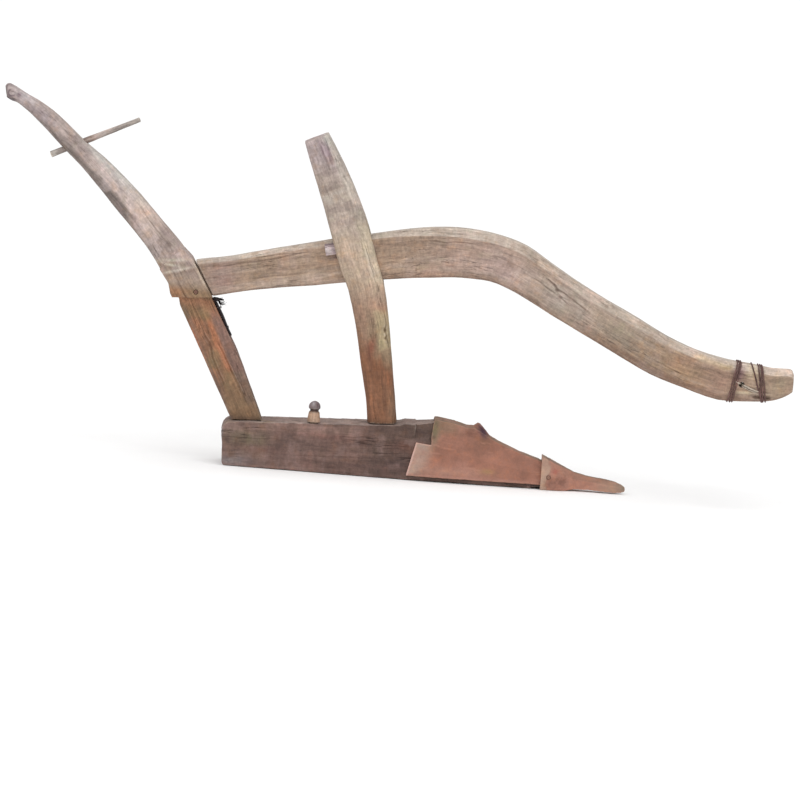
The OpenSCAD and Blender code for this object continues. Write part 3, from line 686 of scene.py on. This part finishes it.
def beam():
    """Pale along its top, cracked below the bend, with a bright rear corner at the shoulder."""
    w = Work("beam", 0.0016, BEAM_LINE, 3, 37)
    w.knot((620, 18), NEAR, 7, sink=0.7, dark=0.4)
    w.knot((900, 8), NEAR, 5, sink=1.0, dark=0.7)
    w.knot((915, -2), NEAR, 5, sink=1.0, dark=0.6)
    w.knot((330, -10), NEAR, 7, sink=0.6, dark=0.3)
    w.knot((900, 4), FAR, 10)
    w.split((850, 18), (1010, 2), NEAR, 1.5, 2.2, dark=0.6, seed=1)
    w.split((830, 4), (960, -8), NEAR, 1.3, 1.8, seed=2)
    w.split((720, 8), (830, 4), NEAR, 1.1, 1.2, dark=0.35, seed=3)
    w.split((560, 30), (720, 27), NEAR, 1.2, 1.5, dark=0.45, seed=4)
    w.split((90, 24), (300, 25), NEAR, 1.1, 1.4, dark=0.4, seed=5)
    w.split((150, -14), (330, -18), NEAR, 1.1, 1.3, dark=0.3, seed=6)
    w.split((1160, -12), (1260, -18), NEAR, 1.2, 1.5, dark=0.4, seed=7)
    w.split((1408, -29), (1458, -31), NEAR, 3.6, 1.6, dark=0.75, wander=0.6, seed=8)
    w.split((1395, -19), (1455, -16), NEAR, 1.2, 1.6, dark=0.35, wander=0.6, seed=11)
    w.split((700, 0), (1100, 6), FAR, 1.6, 2.8, seed=9)
    w.split((200, 6), (420, 2), FAR, 1.6, 2.4, seed=10)
    w.hewn(size=(0.055, 0.028, 0.028))
    # the shoulder isn't carved, and stands a little nearer to the handle than in the CAD model
    w.depth *= 1 - ramp(-w.co[:, 0], 0.408, 0.430)
    shoulder = ramp(-w.co[:, 0], 0.400, 0.440) * np.clip((w.co[:, 2] - 0.393) / 0.07, 0, 1)
    w.co[:, 0] -= 0.0024 * shoulder
    # painted shade inside and round the hitch hole
    bore = np.hypot(w.co[:, 0] - HITCH[0], w.co[:, 2] - HITCH[1])
    w.darken(0.75 * ramp(-bore, -0.0085, -0.0062))
    p = Paint(w.co, (170, 146, 126))
    up = w.d * MM
    lines = streaks(w, (8, 75, 75), 6)
    p.mix((158, 126, 118), p.spot(-395, 430, 34, 50) * 0.8)
    p.mix((166, 143, 131), p.spot(140, 515, 90, 60) * 0.9)
    p.mix((180, 156, 148), p.spot(250, 500, 75, 50, -25))
    p.mix((165, 154, 143), p.spot(400, 440, 90, 46, -31))
    p.mix((163, 147, 130), p.spot(540, 370, 70, 46, -28))
    p.mix((163, 136, 110), p.spot(680, 305, 80, 44, -18))
    p.mix((160, 131, 114), p.spot(770, 290, 50, 44))
    p.mix((188, 170, 158), ramp(lines, 0.08, 0.45) * 0.35)
    p.mix((134, 110, 96), ramp(-lines, 0.08, 0.45) * 0.35)
    # darker along the lower side: partly weathering, partly painted shade
    p.mix((124, 98, 82), ramp(-up, 24, 38) * ramp(p.x, 560, 640) * ramp(-p.x, -760, -700) * 0.7)
    p.mix((128, 100, 83), ramp(-up, 22, 40) * ramp(p.x, 340, 560) * 0.85)
    p.mix((150, 124, 108), ramp(-up, 32, 46) * 0.6)
    p.mix((176, 156, 142), p.spot(-170, 436, 120, 8, 7) * 0.5)
    # painted shadow above and below the wedge, on the near side
    beside = ramp(-p.y, 12, 20)
    p.mix((84, 66, 62), (p.spot(-149, 530, 17, 4.5, 12) * 0.8 + p.spot(-139, 499, 12, 5, 12) * 0.8) * beside)
    # paler on the top faces, brightest at the tip: partly weathering, partly painted light from above
    top = ramp(w.n[:, 2], 0.40, 0.85)
    p.mix((206, 194, 182), top * 0.9)
    p.mix((226, 205, 190), top * ramp(p.x, 866, 884))
    yellow = np.exp(-(((up - 33) / 7) ** 2))
    p.mix((214, 184, 140), yellow * ramp(p.x, 690, 740) * ramp(-p.x, -800, -790) * 0.6)
    p.mix((146, 112, 116), p.spot(812, 308, 11, 20) * 0.8)
    p.mix((212, 196, 168), p.spot(826, 263, 22, 3.2) * 0.8 + p.spot(842, 316, 12, 22, 20) * 0.6)
    p.mix((110, 86, 72), p.spot(868, 252, 18, 9) * 0.8 + p.spot(800, 256, 10, 14) * 0.5)
    p.mix((150, 138, 116), p.spot(905, 284, 22, 26) * 0.5)
    mottle(w, p, (178, 156, 146), (146, 122, 106), 0.30, 3)
    w.finish(p, WOOD, "beam_wood")


# ---------- The sole ----------


def sole():
    """Dark, earth-stained and blotched, paler on top and round the foot of the leg."""
    w = Work("sole", 0.0017, SOLE_LINE, 3, 51, [(-368, 92, 16, 10)])
    w.split((20, 14), (150, 18), NEAR, 1.2, 1.2, dark=0.2, seed=1)
    w.split((150, -18), (400, -14), NEAR, 1.2, 1.2, dark=0.2, seed=2)
    w.split((60, 8), (380, 2), FAR, 1.6, 2.6, seed=4)
    w.hewn(size=(0.06, 0.035, 0.035), deep=0.0009, grooves=0.0005, lumps=0.0014)
    p = Paint(w.co, (118, 93, 85))
    lines = streaks(w, (6, 60, 60), 8)
    p.mix((126, 104, 96), ramp(-p.x, 230, 330) * 0.8)
    p.mix((118, 110, 84), p.spot(-300, 66, 50, 20) * 0.6)
    p.mix((132, 88, 80), p.spot(-270, 44, 60, 8) * 0.4 + p.spot(-120, 90, 90, 10) * 0.6)
    p.mix((138, 116, 110), p.spot(-210, 58, 50, 34) * 0.5)
    # darker towards the front, under and behind the share: painted shade
    p.mix((100, 82, 74), ramp(p.x, -60, 20) * 0.85)
    # dark patch behind the share wing's rear edge: painted shadow of the wing
    p.mix((78, 62, 60), p.spot(40, 34, 46, 24) * 0.7)
    p.mix((112, 78, 68), p.spot(52, 78, 40, 16) * 0.7)
    p.mix((96, 74, 70), ramp(-lines, 0.1, 0.45) * 0.5)
    p.mix((138, 114, 106), ramp(lines, 0.12, 0.5) * 0.4)
    # grey-blue patch along the heel's lower edge: painted highlight
    p.mix((126, 124, 128), p.spot(-336, 12, 40, 12) * 0.6)
    p.mix((112, 106, 112), ramp(-p.x, 362, 368) * ramp(p.z, 50, 80) * 0.6)
    p.mix((106, 82, 75), p.spot(-235, 55, 40, 34) * 0.6)
    p.mix((148, 120, 110), ramp(p.z, 78, 98) * ramp(-p.x, 20, 90) * 0.7)
    # paler on the top faces: partly weathering, partly painted light from above
    p.mix((164, 144, 136), ramp(w.n[:, 2], 0.4, 0.8) * 0.95)
    ring = np.abs(np.hypot((p.x + 311) / 50, (p.y + 40) / 26) - 1)
    p.mix((176, 152, 118), np.exp(-((ring / 0.14) ** 2)) * ramp(w.n[:, 2], -0.1, 0.5) * 0.6)
    mottle(w, p, (136, 112, 106), (96, 76, 70), 0.45, 4)
    w.finish(p, DARK_WOOD, "sole_wood")


# ---------- Share and point ----------


def share():
    """Rusted, with a paler wing, painted highlights on its rear and lower edges, and a hook on its ridge
    darkened purple by painted shade on its forward flank.
    """
    w = Work("share", 0.0013, SHARE_LINE, 2, 61, [(118, 144, 8, 24), (228, 138, 8, 6), (242, 124, 8, 6)])
    w.depth += 0.0005 * (0.5 + 0.5 * fbm(w.co * 60, 3, 5)) + 0.0006 * np.clip(fbm(w.co * 170, 2, 9), 0, 1)
    w.depth += 0.0008 * np.clip(1 - cells(w.co * 42, 3) / 0.45, 0, 1)
    p = Paint(w.co, (160, 112, 94))
    patch = fbm(w.co * 22, 3, 12)
    p.mix((178, 156, 142), ramp(-p.x + (p.z - 50) * 0.3, -128, -84) * 0.9)
    # lighter lower band and bright line along the wing's lower edge: painted highlight
    p.mix((178, 138, 122), p.spot(160, 26, 90, 12) * 0.7)
    p.mix((180, 134, 120), np.exp(-(((p.z - 14) / 4) ** 2)) * ramp(-p.x, -370, -330) * 0.8)
    p.mix((138, 110, 90), ramp(p.z - 0.05 * p.x, 92, 118) * ramp(-p.x, -210, -150) * 0.8)
    p.mix((150, 118, 98), ramp(p.z - 0.1 * p.x, 96, 118) * 0.5)
    p.mix((124, 112, 84), p.spot(122, 122, 9, 32) * 0.9)
    p.mix((132, 116, 96), ramp(w.n[:, 2], 0.5, 0.85) * 0.6)
    # purple band on the hook's forward flank: painted shade
    p.mix((96, 70, 82), p.spot(238, 127, 9, 17, 35) * 0.85)
    p.mix((176, 128, 112), ramp(patch, 0.1, 0.5) * 0.5)
    p.mix((140, 98, 82), ramp(-patch, 0.1, 0.5) * 0.5)
    # bright lines along the wing's rear and top edges: painted highlight
    rear_edge_highlight = np.exp(-(((p.x - 61.5 - p.z * 0.222) / 2.4) ** 2))
    p.mix((222, 188, 178), rear_edge_highlight * ramp(-p.z, -92, -86) * 0.8)
    wing_edge_highlight = np.exp(-(((p.z - 98 + p.x / 9) / 2.2) ** 2))
    p.mix((206, 172, 160), wing_edge_highlight * ramp(p.x, 78, 84) * ramp(-p.x, -118, -112) * 0.7)
    p.mix((176, 142, 92), p.spot(250, 33, 15, 6) * 0.5)
    p.mix((140, 104, 70), p.spot(240, 108, 14, 14) * 0.4)
    # deeper purple and darkening on the hook's forward flank: painted shade
    p.mix((92, 66, 84), p.spot(233, 122, 8, 16, 30) * 0.9)
    w.darken(p.spot(233, 123, 7, 14, 30) * 0.4)
    w.finish(p, RUST, "share_iron")


def share_point():
    """Rusted, with a ragged rim where its socket meets the share, paler there from wear and from painted
    highlight on the socket's lip.
    """
    w = Work("share_point", 0.0012, SHARE_LINE, 2, 71, [(570, 12, 9, 8)])
    rim_line = 389 + 7 * np.exp(-(((w.co[:, 2] * MM - 47) / 13) ** 2)) + 3 * noise(w.co * 70, 3)
    groove = np.exp(-(((w.co[:, 0] * MM - rim_line) / 2.2) ** 2))
    w.depth += 0.0007 * groove + 0.0005 * (0.5 + 0.5 * fbm(w.co * 70, 3, 5))
    w.depth += 0.0006 * np.clip(fbm(w.co * 180, 2, 9), 0, 1)
    w.darken(groove * 0.12)
    p = Paint(w.co, (182, 132, 114))
    patch = fbm(w.co * 26, 3, 14)
    # pale behind the rim: partly wear, partly painted highlight on the socket's lip
    p.mix((196, 166, 146), ramp(rim_line - p.x, -3, 3) * 0.85)
    p.mix((176, 146, 126), ramp(p.x, 470, 560) * 0.9)
    p.mix((178, 136, 118), ramp(patch, 0.1, 0.5) * 0.5)
    p.mix((146, 104, 88), ramp(-patch, 0.1, 0.5) * 0.4)
    p.mix((112, 100, 84), ramp(w.n[:, 2], 0.35, 0.8) * 0.6)
    p.mix((124, 118, 104), p.spot(570, 14, 12, 12) * 0.6)
    p.mix((182, 92, 80), p.spot(407, 44, 7, 5) * 0.6)
    w.finish(p, RUST, "share_iron")


# ---------- Small wooden pieces ----------


def small(node, step, line, base, seed, deep=0.0003):
    """A whittled piece with light and dark streaks, still to be finished."""
    w = Work(node, step, line, 2, seed)
    w.hewn(size=(0.02, 0.007, 0.007), deep=deep, grooves=deep * 0.6, lumps=deep)
    p = Paint(w.co, base)
    lines = streaks(w, (14, 160, 160), seed)
    p.mix(tuple(min(255, c * 1.18) for c in base), ramp(lines, 0.05, 0.45) * 0.6)
    p.mix(tuple(c * 0.72 for c in base), ramp(-lines, 0.1, 0.45) * 0.6)
    return w, p


def grip_rod():
    """The stick through the handle, made a little fuller towards its tip."""
    w, p = small("grip_peg", 0.0010, [[-811, 679], [-613, 775]], (164, 152, 146), 81, deep=0.0004)
    w.co += w.n * (0.0013 * ramp(w.co[:, 0], -0.770, -0.720))[:, None]
    p.mix((196, 188, 180), ramp(-p.x, 790, 806))
    p.mix((126, 106, 98), ramp(-p.x, 700, 724) * ramp(p.x, -790, -770) * 0.8)
    p.mix((186, 176, 168), ramp(p.x, -660, -620) * 0.5)
    w.finish(p, PEG_WOOD, "small_wood")


def tie_peg():
    """A pale stem, painted shade under a grey cap, and on the cap a painted highlight and a dark patch."""
    w, p = small("tie_peg", 0.0010, [[-159, 60], [-159, 170]], (168, 140, 120), 83)
    p.mix((126, 112, 114), ramp(p.z, 142, 147))
    # dark band under the cap: painted shade
    p.mix((54, 40, 42), np.exp(-(((p.z - 142.5) / 4.5) ** 2)) * 0.95)
    # light patch on the cap: painted highlight
    p.mix((186, 178, 180), p.spot(-162, 158, 4, 4) * 0.8)
    p.mix((84, 66, 70), p.spot(-153, 156, 4, 8) * 0.6)
    w.finish(p, PEG_WOOD, "small_wood")


def beam_wedge():
    """Pale, with painted shadow along its upper edge."""
    w, p = small("beam_wedge", 0.0011, [[-162, 512], [-80, 530]], (186, 166, 168), 85, deep=0.0007)
    p.mix((228, 216, 214), p.spot(-158, 514, 9, 7) * 0.8)
    # dark along the upper edge: painted shadow of the cavity above the wedge
    p.mix((112, 92, 96), ramp(p.z, 521, 528) * 0.6)
    w.finish(p, PEG_WOOD, "small_wood")


def hidden_wood():
    """Foot wedges, the share's shim and foot pegs, which hardly show."""
    fresh, stained = (186, 160, 128), (150, 118, 92)
    for node, line, step, base, seed in (
        ("handle_foot_wedge", [[-262, 3], [-280, 38]], 0.0010, fresh, 87),
        ("strut_foot_wedge", [[13, 3], [8, 38]], 0.0010, fresh, 88),
        ("share_shim", [[124, 132], [164, 130]], 0.0010, fresh, 89),
        ("handle_foot_peg", [[-300, 52], [-280, 52]], 0.0011, stained, 91),
        ("strut_foot_peg", [[0, 52], [20, 52]], 0.0011, stained, 92),
    ):
        w, p = small(node, step, line, base, seed)
        w.finish(p, PEG_WOOD, "small_wood")


# ---------- Small iron pieces ----------

STRAP_TOP = np.array((-0.4147, 0, 0.380))  # where the strap bends off the leg, in metres
DOWN_LEG = np.array((0.491, 0, -0.871))
OFF_LEG = np.array((0.871, 0, 0.491))


def iron_piece(node, step, base, seed, line=((-400, 300), (500, 300)), wear_rounds=2):
    """A hammered and pitted piece, still to be finished."""
    w = Work(node, step, line, wear_rounds, seed)
    w.depth += 0.0004 * (0.5 + 0.5 * fbm(w.co * 160, 3, seed) + np.clip(1 - cells(w.co * 120, 3), 0, 1))
    p = Paint(w.co, base)
    p.mix(tuple(c * 1.4 for c in base), ramp(fbm(w.co * 70, 2, seed + 1), 0.1, 0.5) * 0.5)
    return w, p


def beaten(w):
    """Thins the strap and its nails against the leg, more towards the lower end."""
    from_top = w.co - STRAP_TOP
    off, down = np.maximum(from_top @ OFF_LEG, 0), from_top @ DOWN_LEG
    thin = 0.10 + 0.42 * ramp(down, 0.040, 0.092) + 0.07 * noise(w.co * 90, 8)
    w.co -= np.outer(off * thin * ramp(down, 0.003, 0.012), OFF_LEG)


def corner_strap():
    """The strap, its bent end drawn narrower and ragged."""
    w, p = iron_piece("corner_strap", 0.0010, (42, 36, 40), 103, ((-415, 380), (-367, 296)), 3)
    beaten(w)
    tip = ramp(w.co[:, 0], -0.404, -0.388) * ramp(w.co[:, 2], 0.368, 0.374)
    w.co[:, 2] += tip * ((0.3765 - w.co[:, 2]) * 0.6 + 0.0010 * noise(w.co * 260, 4))
    w.co[:, 1] *= 1 - 0.45 * tip
    w.shape(w.co)
    w.finish(p, BLACK, "dark_iron")


def small_iron():
    """Pivot pin, strap with its nails, and rivets."""
    w, p = iron_piece("pivot_pin", 0.0008, (118, 88, 76), 101)
    w.finish(p, RUST, "dark_iron")
    corner_strap()
    w, p = iron_piece("strap_nails", 0.0006, (58, 48, 46), 105)
    beaten(w)
    w.finish(p, BLACK, "dark_iron")
    w, p = iron_piece("point_rivets", 0.0006, (122, 92, 78), 107)
    w.finish(p, RUST, "dark_iron")


# ---------- Strands: wire, bristles and twine ----------


def strands(name, tracks, radii, body, material, base, seed, node=None):
    """One mesh of thin round strands. Each track is a list of points, with a radius for each point."""
    curve = bpy.data.curves.new(name, "CURVE")
    curve.dimensions = "3D"
    curve.bevel_depth = 1.0
    curve.bevel_resolution = 2
    curve.use_fill_caps = True
    for track, sizes in zip(tracks, radii):
        line = curve.splines.new("POLY")
        line.points.add(len(track) - 1)
        for point, at, r in zip(line.points, track, sizes):
            point.co = (*at, 1)
            point.radius = r
    ob = bpy.data.objects.new(name + ".tmp", curve)
    SCENE.collection.objects.link(ob)
    mesh = applied(ob)
    co = points_of(mesh)
    co -= normals_of(mesh) * (0.00008 * (1 + fbm(co * 900, 2, seed)))[:, None]
    put_points(mesh, co)
    paint = Paint(co, base)
    paint.mix(tuple(min(255, c * 1.4) for c in base), ramp(fbm(co * 90, 3, seed), 0.1, 0.5) * 0.7)
    paint.mix(tuple(c * 0.6 for c in base), ramp(-fbm(co * 60, 2, seed + 3), 0.1, 0.5) * 0.7)
    wear = np.clip(fbm(co * 200, 2, seed + 6), 0, 1) * 0.4
    dress(mesh, co, paint, wear, np.zeros(len(co)), material)
    place_piece(name, mesh, body, node)


def surface(name):
    return BVHTree.FromObject(bpy.data.objects[name], bpy.context.evaluated_depsgraph_get())


def turns_left(o, a, b):
    return (a[0] - o[0]) * (b[1] - o[1]) - (a[1] - o[1]) * (b[0] - o[0]) > 0


def hull(points):
    """The convex outline of points in a plane, anticlockwise."""
    pts = sorted(set(map(tuple, np.round(points, 6))))

    def half(seq):
        out = []
        for q in seq:
            while len(out) > 1 and not turns_left(out[-2], out[-1], q):
                out.pop()
            out.append(q)
        return out[:-1]

    return np.array(half(pts) + half(pts[::-1]))


def girth(tree, centre, up, steps):
    """Even steps (y, along up) along a taut string round the beam, from its far side on."""
    hits = []
    for a in 2 * math.pi * np.arange(180) / 180:
        ray = Vector((0, math.cos(a), 0)) + up * math.sin(a)
        ray.normalize()
        found = tree.ray_cast(centre + ray * 0.2, -ray)[0]
        if found is not None:
            off = found - centre
            hits.append((off.y, off.dot(up)))
    ring = hull(np.array(hits))
    ring = np.vstack([ring, ring[:1]])
    run = np.concatenate([[0], np.cumsum(np.linalg.norm(np.diff(ring, axis=0), axis=1))])
    even = np.linspace(0, run[-1], steps, endpoint=False)
    ring = np.stack([np.interp(even, run, v) for v in ring.T], 1)
    return np.roll(ring, -int(np.argmax(ring[:, 0] - 0.6 * np.abs(ring[:, 1]))), axis=0)


WIRE_RADIUS = 0.0017
STEPS_A_TURN = 96
TAIL = 0.028  # length of a binding's twisted ends
TAIL_STEPS = 46


def binding(node, places, leans, z, seed):
    """Wire wound tight round the beam, a turn at each place (mm), each leaning by so many degrees.

    Its ends are twisted together on the far side and hang down a little."""
    tree = surface("beam.worn")
    rng = np.random.default_rng(seed)
    track = []
    for x, following, lean in zip(places, (*places[1:], places[-1] + 3), leans):
        up = Vector((math.sin(math.radians(lean)), 0, math.cos(math.radians(lean))))
        centre = Vector((x, 0, z)) / MM
        ring = girth(tree, centre, up, STEPS_A_TURN)
        way = np.roll(ring, -1, axis=0) - np.roll(ring, 1, axis=0)
        way /= np.linalg.norm(way, axis=1)[:, None] + 1e-9
        ring += np.stack([way[:, 1], -way[:, 0]], 1) * WIRE_RADIUS * 0.95
        shift = (following - x) / MM * ramp(np.arange(STEPS_A_TURN) / STEPS_A_TURN, 0.86, 1.0)
        shift += np.convolve(rng.normal(0, 0.0009, STEPS_A_TURN + 8), np.ones(9) / 9, "valid")
        track += [centre + Vector((dx, y, 0)) + up * u for dx, (y, u) in zip(shift, ring)]
    tracks, radii = [track], [[WIRE_RADIUS] * len(track)]
    knot = (track[0] + track[-1]) / 2
    for phase in (0, math.pi):
        wound = []
        for t in np.linspace(0, 1, TAIL_STEPS):
            a = phase + 18 * t
            out = 0.0004 + 0.0013 * (1 + math.sin(a))
            wound.append(knot + Vector((0.0015 * math.cos(a), out, -TAIL * t)))
        tracks.append(wound)
        radii.append([WIRE_RADIUS * 0.85] * TAIL_STEPS)
    strands(node + ".wire", tracks, radii, "draught_beam", WIRE, (116, 88, 84), seed, node)


BRISTLE_COUNT = 44


def bristles():
    """The ragged tuft at the strap's bent end."""
    rng = np.random.default_rng(12)
    tracks = []
    for _ in range(BRISTLE_COUNT):
        t = rng.uniform(0, 1)
        at = Vector((-0.4050 + 0.011 * t, rng.uniform(-0.0165, 0.010), 0.3770 - 0.014 * t))
        aim = Vector((0.85, rng.uniform(-0.5, 0.1), rng.uniform(-0.75, 0.55))).normalized()
        size, sag = rng.uniform(0.007, 0.016), rng.uniform(-0.004, 0.004)
        tracks.append([at + aim * size * q + Vector((0, 0, sag * q * q)) for q in np.linspace(0, 1, 7)])
    radii = [np.linspace(0.0008, 0.0002, 7)] * BRISTLE_COUNT
    name, node = "corner_strap.bristle", "corner_strap"
    strands(name, tracks, radii, "frame", BLACK, (34, 30, 34), 31, node)


# Each strand of twine: how far it stands off the beam, its points in the hole, then places x, z on the
# beam's near face, and its radius at each point. Two go forward to the front binding, one back to the rear.
TWINE = (
    (
        0.0022,
        ((0.8195, -0.0100, 0.2800), (0.8205, -0.0250, 0.2805), (0.8232, -0.0345, 0.2797)),
        (
            (0.829, 0.2776), (0.836, 0.2748), (0.843, 0.2722),
            (0.850, 0.2698), (0.857, 0.2682), (0.861, 0.2676),
        ),
        (0.0020, 0.0022, 0.0021, 0.0023, 0.0021, 0.0024, 0.0021, 0.0018, 0.0006),
    ),
    (
        0.0016,
        ((0.8185, -0.0150, 0.2780), (0.8195, -0.0290, 0.2775), (0.8212, -0.0350, 0.2758)),
        ((0.829, 0.2730), (0.836, 0.2700), (0.843, 0.2676), (0.850, 0.2662), (0.856, 0.2656)),
        (0.0014, 0.0016, 0.0015, 0.0017, 0.0015, 0.0016, 0.0012, 0.0004),
    ),
    (
        0.0018,
        ((0.8165, -0.0120, 0.2825), (0.8155, -0.0270, 0.2830), (0.8130, -0.0350, 0.2838)),
        ((0.8095, 0.2848), (0.8060, 0.2862), (0.8030, 0.2872)),
        (0.0016, 0.0018, 0.0018, 0.0019, 0.0016, 0.0008),
    ),
)


def twine():
    """Twine left in the hitch hole, its ends laid on the worn beam, and three strands that fill the hole."""
    tree = surface("beam.worn")
    tracks, radii = [], []
    for thick, inside, outside, sizes in TWINE:
        track = [Vector(at) for at in inside]
        for x, z in outside:
            found = tree.ray_cast(Vector((x, -0.2, z)), Vector((0, 1, 0)))[0]
            track.append(Vector((x, found.y - thick * 0.85, z)))
        tracks.append(track)
        radii.append(sizes)
    for dx, dz in ((-0.0026, -0.0006), (0.0024, -0.0016), (-0.0004, 0.0027)):
        x, z = HITCH[0] + dx, HITCH[1] + dz
        tracks.append([Vector((x + 0.0004 * math.sin(k), -0.026 + 0.010 * k, z)) for k in range(7)])
        radii.append([0.0012] + [0.0024] * 6)
    strands("beam.twine", tracks, radii, "draught_beam", PEG_WOOD, (200, 184, 168), 33)


handle()
strut()
beam()
sole()
share()
share_point()
grip_rod()
tie_peg()
beam_wedge()
hidden_wood()
small_iron()
binding("rear_binding", (796.5, 801.6, 806.2), (11, 9.5, 9), 285.5, 5)
binding("front_binding", (853, 860, 864.6, 869.4), (-19, -9, -8, -9.5), 285, 6)
bristles()
twine()

# ---------- Floor, light and camera ----------

FLOOR_HALF = 90.0
FLOOR_DROP = 0.0006  # keeps the floor clear of the sole
YAW, PITCH, ROLL = 0.0135, 0.1256, 0.0829  # in radians
LENS, SENSOR = 319.725, 36.0  # in mm
CAMERA_PLACE = (-0.1837, -16.286, 2.2334)


def floor_material():
    m = Shader("studio_floor")
    place = m.add("ShaderNodeTexCoord").outputs["Object"]
    tone = m.span(m.noise(place, 3.0, 3), 0.3, 0.7, 0.90, 0.93)
    m.link(m.grey(tone), m.bsdf.inputs["Base Color"])
    m.bsdf.inputs["Roughness"].default_value = 0.9
    m.bsdf.inputs["Specular IOR Level"].default_value = 0.1
    return m.mat


def floor():
    h = FLOOR_HALF
    mesh = bpy.data.meshes.new("floor")
    mesh.from_pydata([(-h, -h, 0), (h, -h, 0), (h, h, 0), (-h, h, 0)], [], [(0, 1, 2, 3)])
    mesh.materials.append(floor_material())
    ob = bpy.data.objects.new("floor", mesh)
    SCENE.collection.objects.link(ob)
    ob.location = (0, 0, -FLOOR_DROP)


def lamp(name, kind, energy, aim, place=(0, 0, 0)):
    """A light on the set, turned to look along aim."""
    data = bpy.data.lights.new(name, kind)
    data.energy = energy
    ob = bpy.data.objects.new(name, data)
    SCENE.collection.objects.link(ob)
    ob.location = place
    ob.rotation_mode = "QUATERNION"
    ob.rotation_quaternion = Vector(aim).to_track_quat("-Z", "Y")
    return data


def area(name, place, target, size, energy):
    data = lamp(name, "AREA", energy, Vector(target) - Vector(place), place)
    data.shape = "RECTANGLE"
    data.size, data.size_y = size


def camera():
    """A long-lens view from far off, turned and tilted as the photograph is."""
    flat = math.cos(PITCH)
    ahead = Vector((math.sin(YAW) * flat, math.cos(YAW) * flat, -math.sin(PITCH)))
    level = Vector((math.cos(YAW), -math.sin(YAW), 0))
    above = level.cross(ahead)
    right = level * math.cos(ROLL) + above * math.sin(ROLL)
    top = above * math.cos(ROLL) - level * math.sin(ROLL)
    data = bpy.data.cameras.new("camera")
    data.sensor_width = SENSOR
    data.lens = LENS
    data.clip_end = 200
    ob = bpy.data.objects.new("camera", data)
    SCENE.collection.objects.link(ob)
    turn = Matrix((right, top, -ahead)).transposed().to_4x4()
    ob.matrix_world = Matrix.Translation(CAMERA_PLACE) @ turn
    SCENE.camera = ob


def world():
    w = bpy.data.worlds.new("studio")
    w.use_nodes = True
    background = w.node_tree.nodes["Background"]
    background.inputs["Color"].default_value = (1, 1, 1, 1)
    background.inputs["Strength"].default_value = 0.6
    SCENE.world = w


floor()
lamp("soft_sky", "SUN", 1.9, (0.15, 0.45, -1.0)).angle = math.radians(95)
area("front_fill", (-1.2, -4.2, 1.6), (0, 0, 0.4), (3.2, 2.4), 26)
area("side_fill", (3.6, -1.8, 1.8), (0, 0, 0.3), (2.4, 2.4), 10)
world()
camera()
SCENE.view_settings.view_transform = "Standard"
